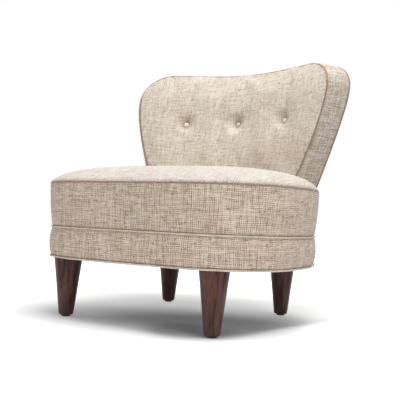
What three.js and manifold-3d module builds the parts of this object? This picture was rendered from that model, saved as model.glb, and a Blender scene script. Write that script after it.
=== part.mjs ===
// An armless slipper chair: a low crowned seat on a sawn frame with sinuous springs, a curved
// and leaning back with three tufts, piping at every edge, and four turned, tapered legs.
// Millimetres, +Z up, the front of the chair toward -Y, the floor at z = 0.

import * as THREE from "three";
import { mergeVertices } from "three/addons/utils/BufferGeometryUtils.js";
import Module from "manifold-3d";

// Fits
const CLEARANCE = 0.3;
const CUT_OVERRUN = 2;

// Cloth and cord
const CLOTH_THICKNESS = 2.2;
const WELT_DIAMETER = 6.4;

// Seat plan, measured at the middle welt
const SEAT_FRONT_HALF_WIDTH = 317;
const SEAT_REAR_HALF_WIDTH = 318;
const SEAT_SIDE_DEPTH = 528;
const SEAT_SIDE_BOW = 56.5;
const SEAT_FRONT_BOW = 1.3;
const SEAT_CORNER_REACH = 183;
const SEAT_REAR_MARGIN = 14;

// Seat heights
const SKIRT_BOTTOM_Z = 165;
const MIDDLE_WELT_Z = 256.6;
const TOP_WELT_Z = 374.7;
const TOP_WELT_FLARE = 9.7;
const SEAT_CROWN = 62;
const SEAT_CROWN_CENTRE_Y = 380;
const SEAT_CROWN_LEVEL_Y = 300;
const BOXING_FULLNESS = 2.5;
const BASE_FULLNESS = 4;

// Seat frame
const RAIL_THICKNESS = 19;
const RAIL_HEIGHT = 72;
const BLOCK_HEIGHT = 55;
const BLOCK_WIDTH = 96;
const BLOCK_DEPTH = 84;
const BLOCK_CHAMFER = 34;
const PADDING_THICKNESS = 5;
const EDGE_ROLL_WIDTH = 6;
const DUST_COVER_THICKNESS = 1;
const DUST_COVER_INSET = 4;

// Springs and the pad on them
const SPRING_SPACING = 100;
const SPRING_COUNT = 5;
const SPRING_WAVES = 5;
const SPRING_WIRE_DIAMETER = 4;
const SPRING_HALF_WIDTH = 23;
const SPRING_ARCH = 5;
const SPRING_TAIL = 20;
const SPRING_LEAD = 28;
const CLIP_WIDTH = 14;
const CLIP_DEPTH = 8;
const CLIP_SETBACK = 1.5;
const CLIP_WALL = 2.4;
const INSULATOR_THICKNESS = 5;

// Legs
const FRONT_LEG_SIDE_INSET = 80.2;
const FRONT_LEG_Y = 62.8;
const REAR_LEG_SIDE_INSET = 108.5;
const REAR_LEG_REAR_INSET = 95.3;
const LEG_TOP_DIAMETER = 78.7;
const LEG_BOTTOM_DIAMETER = 40;
const LEG_TOE_RADIUS = 5;
const LEG_SHOULDER_RADIUS = 1.5;
const GLIDE_DIAMETER = 24;
const GLIDE_HEIGHT = 4;
const GLIDE_EDGE = 1.2;
const GLIDE_NAIL_DIAMETER = 3;
const GLIDE_NAIL_LENGTH = 18;
const HANGER_BOLT_DIAMETER = 8;
const HANGER_BOLT_IN_LEG = 45;
const HANGER_BOLT_CHAMFER = 1.2;
const TEE_NUT_FLANGE_DIAMETER = 20;
const TEE_NUT_FLANGE_THICKNESS = 1.6;
const TEE_NUT_BARREL_DIAMETER = 10.6;
const TEE_NUT_BARREL_LENGTH = 9;

// Back: its front and rear faces are arcs about one leaning axis
const BACK_FRONT_RADIUS = 573;
const BACK_THICKNESS = 80;
const BACK_FRONT_Y = 551;
const BACK_DATUM_Z = 400;
const BACK_LEAN_DEG = 16;
const BACK_BOTTOM_Z = 391;
const BACK_BOTTOM_HALF_WIDTH = 282;
const BACK_BOTTOM_CORNER_RADIUS = 16;
const BACK_WIDEST_HALF_WIDTH = 370;
const BACK_WIDEST_Z = 707;
const BACK_EAR_Z = 802;
const BACK_EAR_WIDTH = 112;
const BACK_DIP = 6;
const BACK_FRONT_DRAW = 24;
const BACK_FRONT_DRAW_TOP_Z = 605;
const BACK_CROWN = 15;
const BACK_BOXING_FULLNESS = 2;

// Tufts
const TUFT_SPACING = 190;
const TUFT_Z = 616;
const TUFT_DEPTH = 27;
const TUFT_REACH = 38;
const BUTTON_DIAMETER = 18;
const BUTTON_HEIGHT = 8;
const BUTTON_SHANK_DIAMETER = 5;
const TWINE_DIAMETER = 2.4;
const TWINE_KNOT_DIAMETER = 9;
const TWINE_END_SETBACK = 10;

// Back frame
const POST_X = 150;
const POST_WIDTH = 30;
const POST_DEPTH = 36;
const POST_NOTCH_DEPTH = 6;
const BACK_RAIL_HEIGHT = 38;
const BACK_RAIL_THICKNESS = 24;
const TOP_RAIL_HALF_WIDTH = 285;
const BACK_RAIL_EDGE_GAP = 26;
const BACK_BOLT_DIAMETER = 8;
const BACK_BOLT_HEAD_DIAMETER = 18;
const BACK_BOLT_HEAD_HEIGHT = 4;
const BACK_BOLT_IN_POST = 26;
const BACK_BOLT_UP = 36;

// Ratios, with no length in them
const TOP_WELT_RISE_SHARE = 0.0138;
const SEAT_CROWN_TILT_SHARE = 0.022;
const CORNER_WEIGHT_SHARE = 0.75;
const REAR_CORNER_ANGLE_SHARE = 0.055;
const REAR_MIDDLE_SHARE = 0.5;
const CROSSING_STEP_SHARE = 0.00625;
const CROWN_POWER_SHARE = 3.5;
const CROWN_ROUND_SHARE = 0.57;
const BACK_CROWN_POWER_SHARE = 4;
const CORD_ROOM_POWER_SHARE = 16;
const SIDE_SOFTNESS_SHARE = 0.2;
const LEG_SHOULDER_SHARE = 0.25;
const BOLT_HEAD_TOP_SHARE = 0.8;
// A covered button's section: shares of its radius and of its height
const button_section_shares = [[0.8, 0], [1, 0.3], [0.85, 0.75], [0.45, 0.95], [0, 1]];
const back_ring_inner_shares = [0.02, 0.18, 0.38];
const back_ring_outer_shares = [0.7, 0.84, 0.94, 1];
const rear_ring_shares = [1, 0.66, 0.33, 0.02];
const seat_ring_shares = [0.03, 0.34, 0.58, 0.76, 0.88, 0.96, 1];
const band_level_shares = [0, 0.5, 1];
// Where the seat rails meet, as shares of the way round the seat from its front middle
const rail_end_shares = [-0.136, 0.136, 0.364, 0.636, 0.864];

// Facets
const SEAT_STATION_COUNT = 44;
const PLAN_STEP_COUNT = 40;
const WELT_SIDE_COUNT = 6;
const BACK_UPPER_STATION_COUNT = 26;
const BACK_LOWER_STATION_COUNT = 18;
const TURNED_SIDE_COUNT = 16;
const SMALL_TURNED_SIDE_COUNT = 12;
const HIDDEN_TURNED_SIDE_COUNT = 8;
const LEG_TOE_STEP_COUNT = 3;
const SPRING_WIRE_SIDE_COUNT = 5;
const SPRING_STEPS_PER_TURN = 3;
const BACK_RAIL_STEP_COUNT = 10;
const NORMAL_REACH_COUNT = 2;
const MERGE_TOLERANCE = 0.0001;

const wasm = await Module();
wasm.setup();

// Sizes that follow from the others
const weltRadius = WELT_DIAMETER / 2;
const frameBottomZ = SKIRT_BOTTOM_Z + DUST_COVER_THICKNESS + CLEARANCE;
const frameTopZ = frameBottomZ + RAIL_HEIGHT;
const blockTopZ = frameBottomZ + BLOCK_HEIGHT;
const legTopZ = SKIRT_BOTTOM_Z - CLEARANCE;
const clothInset = CLOTH_THICKNESS + CLEARANCE;
const railOuterInset = clothInset + PADDING_THICKNESS + CLEARANCE;
const railInnerInset = railOuterInset + RAIL_THICKNESS;
const springZ = frameTopZ + SPRING_WIRE_DIAMETER;
const insulatorBottomZ = springZ + SPRING_ARCH + SPRING_WIRE_DIAMETER / 2 + CLEARANCE;
const seatFoamBottomZ = insulatorBottomZ + INSULATOR_THICKNESS + CLEARANCE;
const backRearRadius = BACK_FRONT_RADIUS + BACK_THICKNESS;
const backMiddleRadius = BACK_FRONT_RADIUS + BACK_THICKNESS / 2;
const backAxisY = BACK_FRONT_Y - BACK_FRONT_RADIUS;
const backLean = THREE.MathUtils.degToRad(BACK_LEAN_DEG);
const backSlope = Math.tan(backLean);
const seatRearRadius = backRearRadius + SEAT_REAR_MARGIN;
const frontLegX = SEAT_FRONT_HALF_WIDTH - FRONT_LEG_SIDE_INSET;
const rearLegX = SEAT_REAR_HALF_WIDTH - REAR_LEG_SIDE_INSET;
const rearLegY = backAxisY + seatRearRadius - REAR_LEG_REAR_INSET;
const leg_places = [
  ["front_left", -frontLegX, FRONT_LEG_Y],
  ["front_right", frontLegX, FRONT_LEG_Y],
  ["rear_left", -rearLegX, rearLegY],
  ["rear_right", rearLegX, rearLegY],
];

// Finishes
function finish(color, roughness, metalness = 0) {
  return () => new THREE.MeshStandardMaterial({ color, roughness, metalness });
}
const linenTop = finish(0xe6ddcf, 0.95);
const linenSide = finish(0xc9bba6, 0.95);
const linenCord = finish(0xd8ccb9, 0.95);
const foam = finish(0xf0e4b8, 1);
const felt = finish(0x8d8a84, 1);
const blackCloth = finish(0x1d1c1b, 1);
const hardwood = finish(0xc8a878, 0.8);
const darkWood = finish(0x3a211b, 0.35);
const steel = finish(0x9a9a98, 0.45, 1);
const nylon = finish(0x161514, 0.5);
const twine = finish(0xb9a888, 0.9);

const chair = new THREE.Group();

function addPiece(name, geometry, material) {
  const mesh = new THREE.Mesh(geometry, material());
  mesh.name = name;
  chair.add(mesh);
  return mesh;
}

// Solids: joining, cutting and building from rings

function toManifold(geometry) {
  const plain = geometry.clone();
  plain.deleteAttribute("normal");
  plain.deleteAttribute("uv");
  const merged = mergeVertices(plain, MERGE_TOLERANCE);
  return new wasm.Manifold(new wasm.Mesh({
    numProp: 3,
    vertProperties: new Float32Array(merged.attributes.position.array),
    triVerts: new Uint32Array(merged.index.array),
  }));
}

function toGeometry(solid) {
  const mesh = solid.getMesh();
  const geometry = new THREE.BufferGeometry();
  geometry.setAttribute("position", new THREE.BufferAttribute(mesh.vertProperties, 3));
  geometry.setIndex(new THREE.BufferAttribute(mesh.triVerts, 1));
  return geometry;
}

function cut(geometry, cutters) {
  let solid = toManifold(geometry);
  for (const cutter of cutters) solid = solid.subtract(toManifold(cutter));
  return toGeometry(solid);
}

function join(geometry, additions) {
  let solid = toManifold(geometry);
  for (const addition of additions) solid = solid.add(toManifold(addition));
  return toGeometry(solid);
}

function common(geometry, other) {
  return toGeometry(toManifold(geometry).intersect(toManifold(other)));
}

function fromFaces(points, faces) {
  const geometry = new THREE.BufferGeometry();
  const flat = new Float32Array(points.flatMap((p) => [p.x, p.y, p.z]));
  geometry.setAttribute("position", new THREE.BufferAttribute(flat, 3));
  geometry.setIndex(faces.flat());
  if (toManifold(geometry).volume() < 0) {
    geometry.setIndex(faces.map(([a, b, c]) => [a, c, b]).flat());
  }
  return geometry;
}

// Rings of points, one after another. Each end is closed by a face to its middle point, unless
// the rings come back to the first one. Each patch is split along its shorter diagonal, so that
// nested skins are split alike.
function ringBody(rings, comesBack = false) {
  const points = rings.flat();
  const size = rings[0].length;
  const faces = [];
  const spans = comesBack ? rings.length : rings.length - 1;
  for (let i = 0; i < spans; i += 1) {
    const near = i * size;
    const far = ((i + 1) % rings.length) * size;
    for (let j = 0; j < size; j += 1) {
      const next = (j + 1) % size;
      const straight = points[near + j].distanceTo(points[far + next]);
      if (straight <= points[near + next].distanceTo(points[far + j])) {
        faces.push([near + j, near + next, far + next], [near + j, far + next, far + j]);
      } else {
        faces.push([near + j, near + next, far + j], [near + next, far + next, far + j]);
      }
    }
  }
  if (!comesBack) {
    for (const [start, turned] of [[0, true], [(rings.length - 1) * size, false]]) {
      const ring = points.slice(start, start + size);
      const middle = new THREE.Vector3();
      for (const p of ring) middle.addScaledVector(p, 1 / size);
      points.push(middle);
      for (let j = 0; j < size; j += 1) {
        const next = (j + 1) % size;
        const face = [start + j, start + next, points.length - 1];
        faces.push(turned ? [face[1], face[0], face[2]] : face);
      }
    }
  }
  return fromFaces(points, faces);
}

function cylinder(diameter, length, sides = HIDDEN_TURNED_SIDE_COUNT) {
  const geometry = new THREE.CylinderGeometry(diameter / 2, diameter / 2, length, sides);
  return geometry.rotateX(Math.PI / 2);
}

function turned(profile, sides) {
  const points = profile.map(([radius, height]) => new THREE.Vector2(radius, height));
  return new THREE.LatheGeometry(points, sides).rotateX(Math.PI / 2);
}

// Seat plan: the right half is traced from the front to the rear, then mirrored

function conic(start, corner, end, steps) {
  const points = [];
  for (let i = 0; i <= steps; i += 1) {
    const t = i / steps;
    const a = (1 - t) * (1 - t);
    const b = 2 * CORNER_WEIGHT_SHARE * t * (1 - t);
    const c = t * t;
    const sum = a + b + c;
    points.push(new THREE.Vector2(
      (a * start.x + b * corner.x + c * end.x) / sum,
      (a * start.y + b * corner.y + c * end.y) / sum,
    ));
  }
  return points;
}

function crossing(p, directionP, q, directionQ) {
  const gap = q.clone().sub(p);
  const travel = gap.cross(directionQ) / directionP.cross(directionQ);
  return p.clone().addScaledVector(directionP, travel);
}

function sidePoint(share) {
  const x = THREE.MathUtils.lerp(SEAT_FRONT_HALF_WIDTH, SEAT_REAR_HALF_WIDTH, share);
  return new THREE.Vector2(x + 4 * SEAT_SIDE_BOW * share * (1 - share), SEAT_SIDE_DEPTH * share);
}

function sideDirection(share) {
  const spread = SEAT_REAR_HALF_WIDTH - SEAT_FRONT_HALF_WIDTH;
  const lean = spread + 4 * SEAT_SIDE_BOW * (1 - 2 * share);
  return new THREE.Vector2(lean, SEAT_SIDE_DEPTH).normalize();
}

function traceSeatPlan() {
  const half = [];
  const frontEnd = SEAT_FRONT_HALF_WIDTH - SEAT_CORNER_REACH;
  const frontPoint = (x) => {
    const across = x / SEAT_FRONT_HALF_WIDTH;
    return new THREE.Vector2(x, -SEAT_FRONT_BOW * (1 - across * across));
  };
  for (let i = 0; i < PLAN_STEP_COUNT; i += 1) half.push(frontPoint(frontEnd * i / PLAN_STEP_COUNT));
  const cornerShare = SEAT_CORNER_REACH / SEAT_SIDE_DEPTH;
  const start = frontPoint(frontEnd);
  const end = sidePoint(cornerShare);
  const along = new THREE.Vector2(1, 0);
  const corner = crossing(start, along, end, sideDirection(cornerShare));
  half.push(...conic(start, corner, end, PLAN_STEP_COUNT));
  for (let i = 1; i <= PLAN_STEP_COUNT; i += 1) {
    half.push(sidePoint(cornerShare + (1 - cornerShare) * i / PLAN_STEP_COUNT));
  }
  const turn = REAR_CORNER_ANGLE_SHARE * 2 * Math.PI;
  const rearPoint = (angle) => new THREE.Vector2(
    seatRearRadius * Math.sin(angle),
    backAxisY + seatRearRadius * Math.cos(angle),
  );
  const sideEnd = sidePoint(1);
  const rearStart = rearPoint(turn);
  const rearDirection = new THREE.Vector2(-Math.cos(turn), Math.sin(turn));
  const rearCorner = crossing(sideEnd, sideDirection(1), rearStart, rearDirection);
  half.push(...conic(sideEnd, rearCorner, rearStart, PLAN_STEP_COUNT).slice(1));
  for (let i = 1; i <= PLAN_STEP_COUNT; i += 1) half.push(rearPoint(turn * (1 - i / PLAN_STEP_COUNT)));
  const mirrored = half.slice(1, -1).reverse().map((p) => new THREE.Vector2(-p.x, p.y));
  return [...half, ...mirrored];
}

// A closed outline that gives the point and the outward normal at any share of its length
class Outline {
  constructor(points) {
    this.points = points;
    this.lengths = [0];
    for (let i = 0; i < points.length; i += 1) {
      const next = points[(i + 1) % points.length];
      this.lengths.push(this.lengths[i] + points[i].distanceTo(next));
    }
    this.total = this.lengths[points.length];
  }

  place(share) {
    const travel = THREE.MathUtils.euclideanModulo(share, 1) * this.total;
    let i = 0;
    while (this.lengths[i + 1] < travel) i += 1;
    const a = this.points[i];
    const b = this.points[(i + 1) % this.points.length];
    return a.clone().lerp(b, (travel - this.lengths[i]) / (this.lengths[i + 1] - this.lengths[i]));
  }

  at(share, offset = 0) {
    const reach = NORMAL_REACH_COUNT / this.points.length;
    const ahead = this.place(share + reach);
    const along = ahead.sub(this.place(share - reach)).normalize();
    const point = this.place(share);
    return new THREE.Vector2(point.x + along.y * offset, point.y - along.x * offset);
  }

  stations(count) {
    return Array.from({ length: count }, (unused, i) => i / count);
  }
}

const seatPlan = new Outline(traceSeatPlan());
const seatShares = seatPlan.stations(SEAT_STATION_COUNT);

function weltRise(y) {
  return TOP_WELT_RISE_SHARE * y;
}

// A profile of [offset, z, lift] points swept round the seat plan; lift is how far a point
// follows the rise of the top welt toward the rear
function sweepSeat(profile, shares = seatShares, comesBack = true) {
  const rings = shares.map((share) => profile.map(([offset, z, lift = 0]) => {
    const p = seatPlan.at(share, offset);
    return new THREE.Vector3(p.x, p.y, z + lift * weltRise(p.y));
  }));
  return ringBody(rings, comesBack);
}

function seatPrism(offset, bottomZ, topZ) {
  const ring = (z) => seatShares.map((share) => {
    const p = seatPlan.at(share, offset);
    return new THREE.Vector3(p.x, p.y, z);
  });
  return ringBody([ring(bottomZ), ring(topZ)]);
}

function cordSection(centreOffset, centreZ, lift) {
  return Array.from({ length: WELT_SIDE_COUNT }, (unused, i) => {
    const angle = 2 * Math.PI * i / WELT_SIDE_COUNT;
    return [centreOffset + weltRadius * Math.cos(angle), centreZ + weltRadius * Math.sin(angle), lift];
  });
}

// Where the plan, drawn in by the inset, crosses a line of constant x
function crossSeat(x, inset, atRear) {
  const side = x < 0 !== atRear ? -1 : 1;
  const step = side * CROSSING_STEP_SHARE;
  let share = atRear ? REAR_MIDDLE_SHARE : 0;
  while (Math.abs(seatPlan.at(share, -inset).x) < Math.abs(x)) share += step;
  const far = seatPlan.at(share, -inset);
  const near = seatPlan.at(share - step, -inset);
  const t = x === 0 ? 0 : (Math.abs(x) - Math.abs(near.x)) / (Math.abs(far.x) - Math.abs(near.x));
  return THREE.MathUtils.lerp(near.y, far.y, t);
}

// Back outline in flat (u, z): u runs along the front face's arc

function sideHalfWidth(z) {
  const down = (BACK_WIDEST_Z - z) / (BACK_WIDEST_Z - BACK_BOTTOM_Z);
  const range = BACK_WIDEST_HALF_WIDTH - BACK_BOTTOM_HALF_WIDTH;
  const soft = SIDE_SOFTNESS_SHARE;
  const eased = (Math.sqrt(down * down + soft * soft) - soft) / (Math.sqrt(1 + soft * soft) - soft);
  return BACK_WIDEST_HALF_WIDTH - range * eased;
}

function topEdgeZ(u) {
  const earU = BACK_WIDEST_HALF_WIDTH - BACK_EAR_WIDTH;
  return BACK_EAR_Z - BACK_DIP * (1 + Math.cos(Math.PI * u / earU)) / 2;
}

// The right side's upper run, from the tuft line up and over to the middle of the top
function traceUpperHalf() {
  const points = [];
  const earU = BACK_WIDEST_HALF_WIDTH - BACK_EAR_WIDTH;
  for (let i = 0; i < PLAN_STEP_COUNT; i += 1) {
    const z = THREE.MathUtils.lerp(TUFT_Z, BACK_WIDEST_Z, i / PLAN_STEP_COUNT);
    points.push(new THREE.Vector2(sideHalfWidth(z), z));
  }
  for (let i = 0; i < PLAN_STEP_COUNT; i += 1) {
    const angle = Math.PI / 2 * i / PLAN_STEP_COUNT;
    const z = BACK_WIDEST_Z + (BACK_EAR_Z - BACK_WIDEST_Z) * Math.sin(angle);
    points.push(new THREE.Vector2(earU + BACK_EAR_WIDTH * Math.cos(angle), z));
  }
  for (let i = 0; i <= PLAN_STEP_COUNT; i += 1) {
    const u = earU * (1 - i / PLAN_STEP_COUNT);
    points.push(new THREE.Vector2(u, topEdgeZ(u)));
  }
  return points;
}

function traceLowerHalf() {
  const points = [];
  const radius = BACK_BOTTOM_CORNER_RADIUS;
  for (let i = 1; i <= PLAN_STEP_COUNT; i += 1) {
    const u = (BACK_BOTTOM_HALF_WIDTH - radius) * i / PLAN_STEP_COUNT;
    points.push(new THREE.Vector2(u, BACK_BOTTOM_Z));
  }
  for (let i = 1; i <= PLAN_STEP_COUNT; i += 1) {
    const angle = Math.PI / 2 * i / PLAN_STEP_COUNT;
    const z = BACK_BOTTOM_Z + radius * (1 - Math.cos(angle));
    const inward = BACK_BOTTOM_HALF_WIDTH - sideHalfWidth(z);
    points.push(new THREE.Vector2(BACK_BOTTOM_HALF_WIDTH - inward - radius * (1 - Math.sin(angle)), z));
  }
  for (let i = 1; i <= PLAN_STEP_COUNT; i += 1) {
    const z = THREE.MathUtils.lerp(BACK_BOTTOM_Z + radius, TUFT_Z, i / PLAN_STEP_COUNT);
    points.push(new THREE.Vector2(sideHalfWidth(z), z));
  }
  return points;
}

function mirrorHalf(points) {
  return points.slice().reverse().map((p) => new THREE.Vector2(-p.x, p.y));
}

// Starts at the right side on the tuft line and runs over the top, down and along the bottom
const upperHalf = traceUpperHalf();
const lowerHalf = traceLowerHalf();
const backOutline = new Outline([
  ...upperHalf,
  ...mirrorHalf(upperHalf).slice(1),
  ...mirrorHalf(lowerHalf).slice(1),
  ...lowerHalf.slice(0, -1),
]);
const upperShare = backOutline.lengths[2 * (upperHalf.length - 1)] / backOutline.total;
const backShares = [
  ...Array.from(
    { length: BACK_UPPER_STATION_COUNT },
    (unused, i) => upperShare * i / BACK_UPPER_STATION_COUNT,
  ),
  ...Array.from(
    { length: BACK_LOWER_STATION_COUNT },
    (unused, i) => upperShare + (1 - upperShare) * i / BACK_LOWER_STATION_COUNT,
  ),
];

function arcPoint(u, z, radius) {
  const angle = u / BACK_FRONT_RADIUS;
  const axisY = backAxisY + backSlope * (z - BACK_DATUM_Z);
  return new THREE.Vector3(radius * Math.sin(angle), axisY + radius * Math.cos(angle), z);
}

// The front edge of the padding is drawn in toward its bottom, and the rear edge isn't
function backPoint(u, z, radius) {
  const down = Math.max(0, BACK_FRONT_DRAW_TOP_Z - z) / (BACK_FRONT_DRAW_TOP_Z - BACK_BOTTOM_Z);
  const forward = (backRearRadius - radius) / BACK_THICKNESS;
  const drawn = BACK_FRONT_DRAW / BACK_BOTTOM_HALF_WIDTH * down * down * forward;
  return arcPoint(u * (1 - drawn), z, radius);
}

// A profile of [radius, offset] points swept round the back's outline
function sweepBack(profile) {
  const rings = backShares.map((share) => profile.map(([radius, offset]) => {
    const p = backOutline.at(share, offset);
    return backPoint(p.x, p.y, radius);
  }));
  return ringBody(rings, true);
}

function backCord(radius) {
  const profile = Array.from({ length: WELT_SIDE_COUNT }, (unused, i) => {
    const angle = 2 * Math.PI * i / WELT_SIDE_COUNT;
    return [radius + weltRadius * Math.cos(angle), weltRadius * Math.sin(angle)];
  });
  return sweepBack(profile);
}

// Padding in front of the flat arc: a crown that falls to nothing at the edge, with tufts
function tuftDip(u, z) {
  let dip = 0;
  for (const side of [-1, 0, 1]) {
    const distance = Math.hypot(u - side * TUFT_SPACING, z - TUFT_Z);
    dip = Math.max(dip, TUFT_DEPTH * Math.exp(-distance / TUFT_REACH));
  }
  return dip;
}

function backSwell(u, z, share) {
  const crown = BACK_CROWN * (1 - share ** BACK_CROWN_POWER_SHARE);
  return crown - tuftDip(u, z) * (1 - share * share);
}

// Nested copies of the outline, drawn in toward the middle tuft; frontRadius gives each
// point's radius from its share of the way out
function backSheetRings(shares, offset, radiusOf) {
  return shares.map((share) => backShares.map((place) => {
    const edge = backOutline.at(place, offset);
    const u = edge.x * share;
    const z = THREE.MathUtils.lerp(TUFT_Z, edge.y, share);
    return backPoint(u, z, radiusOf(u, z, share));
  }));
}

// Seat

const tuftRingShare = TUFT_SPACING / sideHalfWidth(TUFT_Z);
const back_ring_shares = [...back_ring_inner_shares, tuftRingShare, ...back_ring_outer_shares];

function seatTopZ(y, share) {
  const height = SEAT_CROWN + SEAT_CROWN_TILT_SHARE * (y - SEAT_CROWN_LEVEL_Y);
  return TOP_WELT_Z + weltRise(y) + height * (1 - share ** CROWN_POWER_SHARE) ** CROWN_ROUND_SHARE;
}

function seatTopRings(offset, drop) {
  return seat_ring_shares.map((share) => seatShares.map((place) => {
    const edge = seatPlan.at(place, offset);
    const x = edge.x * share;
    const y = THREE.MathUtils.lerp(SEAT_CROWN_CENTRE_Y, edge.y, share);
    return new THREE.Vector3(x, y, seatTopZ(y, share) - drop);
  }));
}

// The outer face of the tall seat band at a share of its height
const boxingBottomZ = MIDDLE_WELT_Z + weltRadius + CLEARANCE;
const boxingTopZ = TOP_WELT_Z - weltRadius - CLEARANCE;

function boxingFace(share, inset) {
  const offset = (TOP_WELT_FLARE - CLEARANCE) * share + 4 * BOXING_FULLNESS * share * (1 - share);
  return [offset - inset, THREE.MathUtils.lerp(boxingBottomZ, boxingTopZ, share), share];
}

const post = {
  left: -POST_X,
  right: POST_X,
};
const postOuterX = POST_X + POST_WIDTH / 2;
const postRearY = crossSeat(postOuterX, railInnerInset, true) + POST_NOTCH_DEPTH;

// The sawn post stands upright against the rear rail, then leans with the back
function backPost(x, extra = 0) {
  const radiusHere = Math.sqrt(backMiddleRadius ** 2 - POST_X ** 2);
  const bendZ = BACK_BOTTOM_Z;
  const lowRear = postRearY + extra;
  const lowFront = postRearY - POST_DEPTH - extra;
  const middleY = (z) => backAxisY + radiusHere + backSlope * (z - BACK_DATUM_Z);
  const topZ = postTopZ + extra;
  const halfThick = BACK_RAIL_THICKNESS / 2 + extra;
  const shape = new THREE.Shape();
  shape.moveTo(lowFront, frameBottomZ + CLEARANCE - extra);
  shape.lineTo(lowRear, frameBottomZ + CLEARANCE - extra);
  shape.lineTo(lowRear, bendZ - POST_DEPTH);
  shape.lineTo(middleY(bendZ) + halfThick, bendZ + CUT_OVERRUN);
  shape.lineTo(middleY(topZ) + halfThick, topZ);
  shape.lineTo(middleY(topZ) - halfThick, topZ);
  shape.lineTo(middleY(bendZ) - halfThick, bendZ + CUT_OVERRUN);
  shape.lineTo(lowFront, bendZ - POST_DEPTH);
  shape.closePath();
  const width = POST_WIDTH + 2 * extra;
  const geometry = new THREE.ExtrudeGeometry(shape, { depth: width, bevelEnabled: false });
  // The shape is drawn in (y, z) and extruded along x
  geometry.applyMatrix4(new THREE.Matrix4().set(
    0, 0, 1, x - width / 2,
    1, 0, 0, 0,
    0, 1, 0, 0,
    0, 0, 0, 1,
  ));
  return geometry;
}

const topRailTopZ = topEdgeZ(0) - BACK_RAIL_EDGE_GAP;
const topRailBottomZ = topRailTopZ - BACK_RAIL_HEIGHT;
const postTopZ = topRailBottomZ - CLEARANCE;

// A curved rail of the back, between two places on the arc
function backRail(fromX, toX, bottomZ, topZ, extra = 0) {
  const steps = BACK_RAIL_STEP_COUNT;
  const rings = [];
  const half = BACK_RAIL_THICKNESS / 2 + extra;
  for (let i = 0; i <= steps; i += 1) {
    const x = THREE.MathUtils.lerp(fromX - extra, toX + extra, i / steps);
    const u = BACK_FRONT_RADIUS * Math.asin(x / backMiddleRadius);
    rings.push([
      arcPoint(u, bottomZ - extra, backMiddleRadius - half),
      arcPoint(u, bottomZ - extra, backMiddleRadius + half),
      arcPoint(u, topZ + extra, backMiddleRadius + half),
      arcPoint(u, topZ + extra, backMiddleRadius - half),
    ]);
  }
  return ringBody(rings);
}

const postCutters = Object.values(post).map((x) => backPost(x, CLEARANCE));

// The room that the back takes in the crown of the seat, its piping included
function backRoom() {
  const cord = weltRadius + CLEARANCE;
  const frontAt = (u, z, share) => (
    BACK_FRONT_RADIUS - backSwell(u, z, share) - CLEARANCE - cord * share ** CORD_ROOM_POWER_SHARE
  );
  return ringBody([
    ...backSheetRings(back_ring_shares, cord, frontAt),
    ...backSheetRings(rear_ring_shares, cord, () => backRearRadius + cord),
  ]);
}
const seatCutters = [...postCutters, backRoom()];

function buildSeatSoftGoods() {
  const topRim = TOP_WELT_FLARE - weltRadius - 2 * CLEARANCE;
  const outer = seatTopRings(topRim, 0);
  const inner = seatTopRings(topRim, CLOTH_THICKNESS).reverse();
  addPiece("seat_top_cover", cut(ringBody([...outer, ...inner]), seatCutters), linenTop);

  const foamLevels = [
    [-weltRadius - CLEARANCE, seatFoamBottomZ, 0],
    [-weltRadius - CLEARANCE, boxingBottomZ, 0],
    ...band_level_shares.slice(1).map((share) => boxingFace(share, clothInset)),
  ];
  const foamRings = foamLevels.map(([offset, z, lift]) => seatShares.map((place) => {
    const p = seatPlan.at(place, offset);
    return new THREE.Vector3(p.x, p.y, z + lift * weltRise(p.y));
  }));
  const crown = seatTopRings(topRim, clothInset).reverse();
  addPiece("seat_foam", cut(ringBody([...foamRings, ...crown]), seatCutters), foam);

  const band = [
    ...band_level_shares.map((share) => boxingFace(share, 0)),
    ...band_level_shares.map((share) => boxingFace(share, CLOTH_THICKNESS)).reverse(),
  ];
  addPiece("seat_boxing_band", sweepSeat(band), linenSide);
  addPiece("seat_top_welt", sweepSeat(cordSection(TOP_WELT_FLARE - CLEARANCE, TOP_WELT_Z, 1)), linenCord);
  addPiece("seat_middle_welt", sweepSeat(cordSection(0, MIDDLE_WELT_Z, 0)), linenCord);
}

function buildBase() {
  const topZ = MIDDLE_WELT_Z - weltRadius - CLEARANCE;
  const bottomZ = SKIRT_BOTTOM_Z + WELT_DIAMETER + CLEARANCE;
  const face = (inset) => band_level_shares.map((share) => [
    4 * BASE_FULLNESS * share * (1 - share) - inset,
    THREE.MathUtils.lerp(bottomZ, topZ, share),
  ]);
  addPiece("base_band", sweepSeat([...face(0), ...face(CLOTH_THICKNESS).reverse()]), linenSide);
  addPiece("base_welt", sweepSeat(cordSection(0, SKIRT_BOTTOM_Z + weltRadius, 0)), linenCord);
  const padInner = railOuterInset - CLEARANCE;
  const padding = [
    ...face(clothInset).map(([offset, z]) => [offset, Math.max(z, frameBottomZ)]),
    [-padInner, topZ],
    [-padInner, frameBottomZ],
  ];
  addPiece("base_padding", sweepSeat(padding), felt);
  const roll = [
    [-railOuterInset, frameTopZ + CLEARANCE],
    [-railOuterInset, seatFoamBottomZ - CLEARANCE],
    [-railOuterInset - EDGE_ROLL_WIDTH, seatFoamBottomZ - CLEARANCE],
    [-railOuterInset - EDGE_ROLL_WIDTH, frameTopZ + CLEARANCE],
  ];
  addPiece("edge_roll", sweepSeat(roll), felt);
  const holes = leg_places.map(([, x, y]) => (
    cylinder(TEE_NUT_BARREL_DIAMETER, 2 * RAIL_HEIGHT).translate(x, y, frameBottomZ)
  ));
  const sheetTopZ = SKIRT_BOTTOM_Z + DUST_COVER_THICKNESS;
  const sheet = seatPrism(-DUST_COVER_INSET, SKIRT_BOTTOM_Z, sheetTopZ);
  addPiece("dust_cover", cut(sheet, holes), blackCloth);
}

// Springs run from front to rear, each end held in a clip on a rail

const springPlaces = Array.from(
  { length: SPRING_COUNT },
  (unused, i) => SPRING_SPACING * (i - (SPRING_COUNT - 1) / 2),
);

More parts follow.
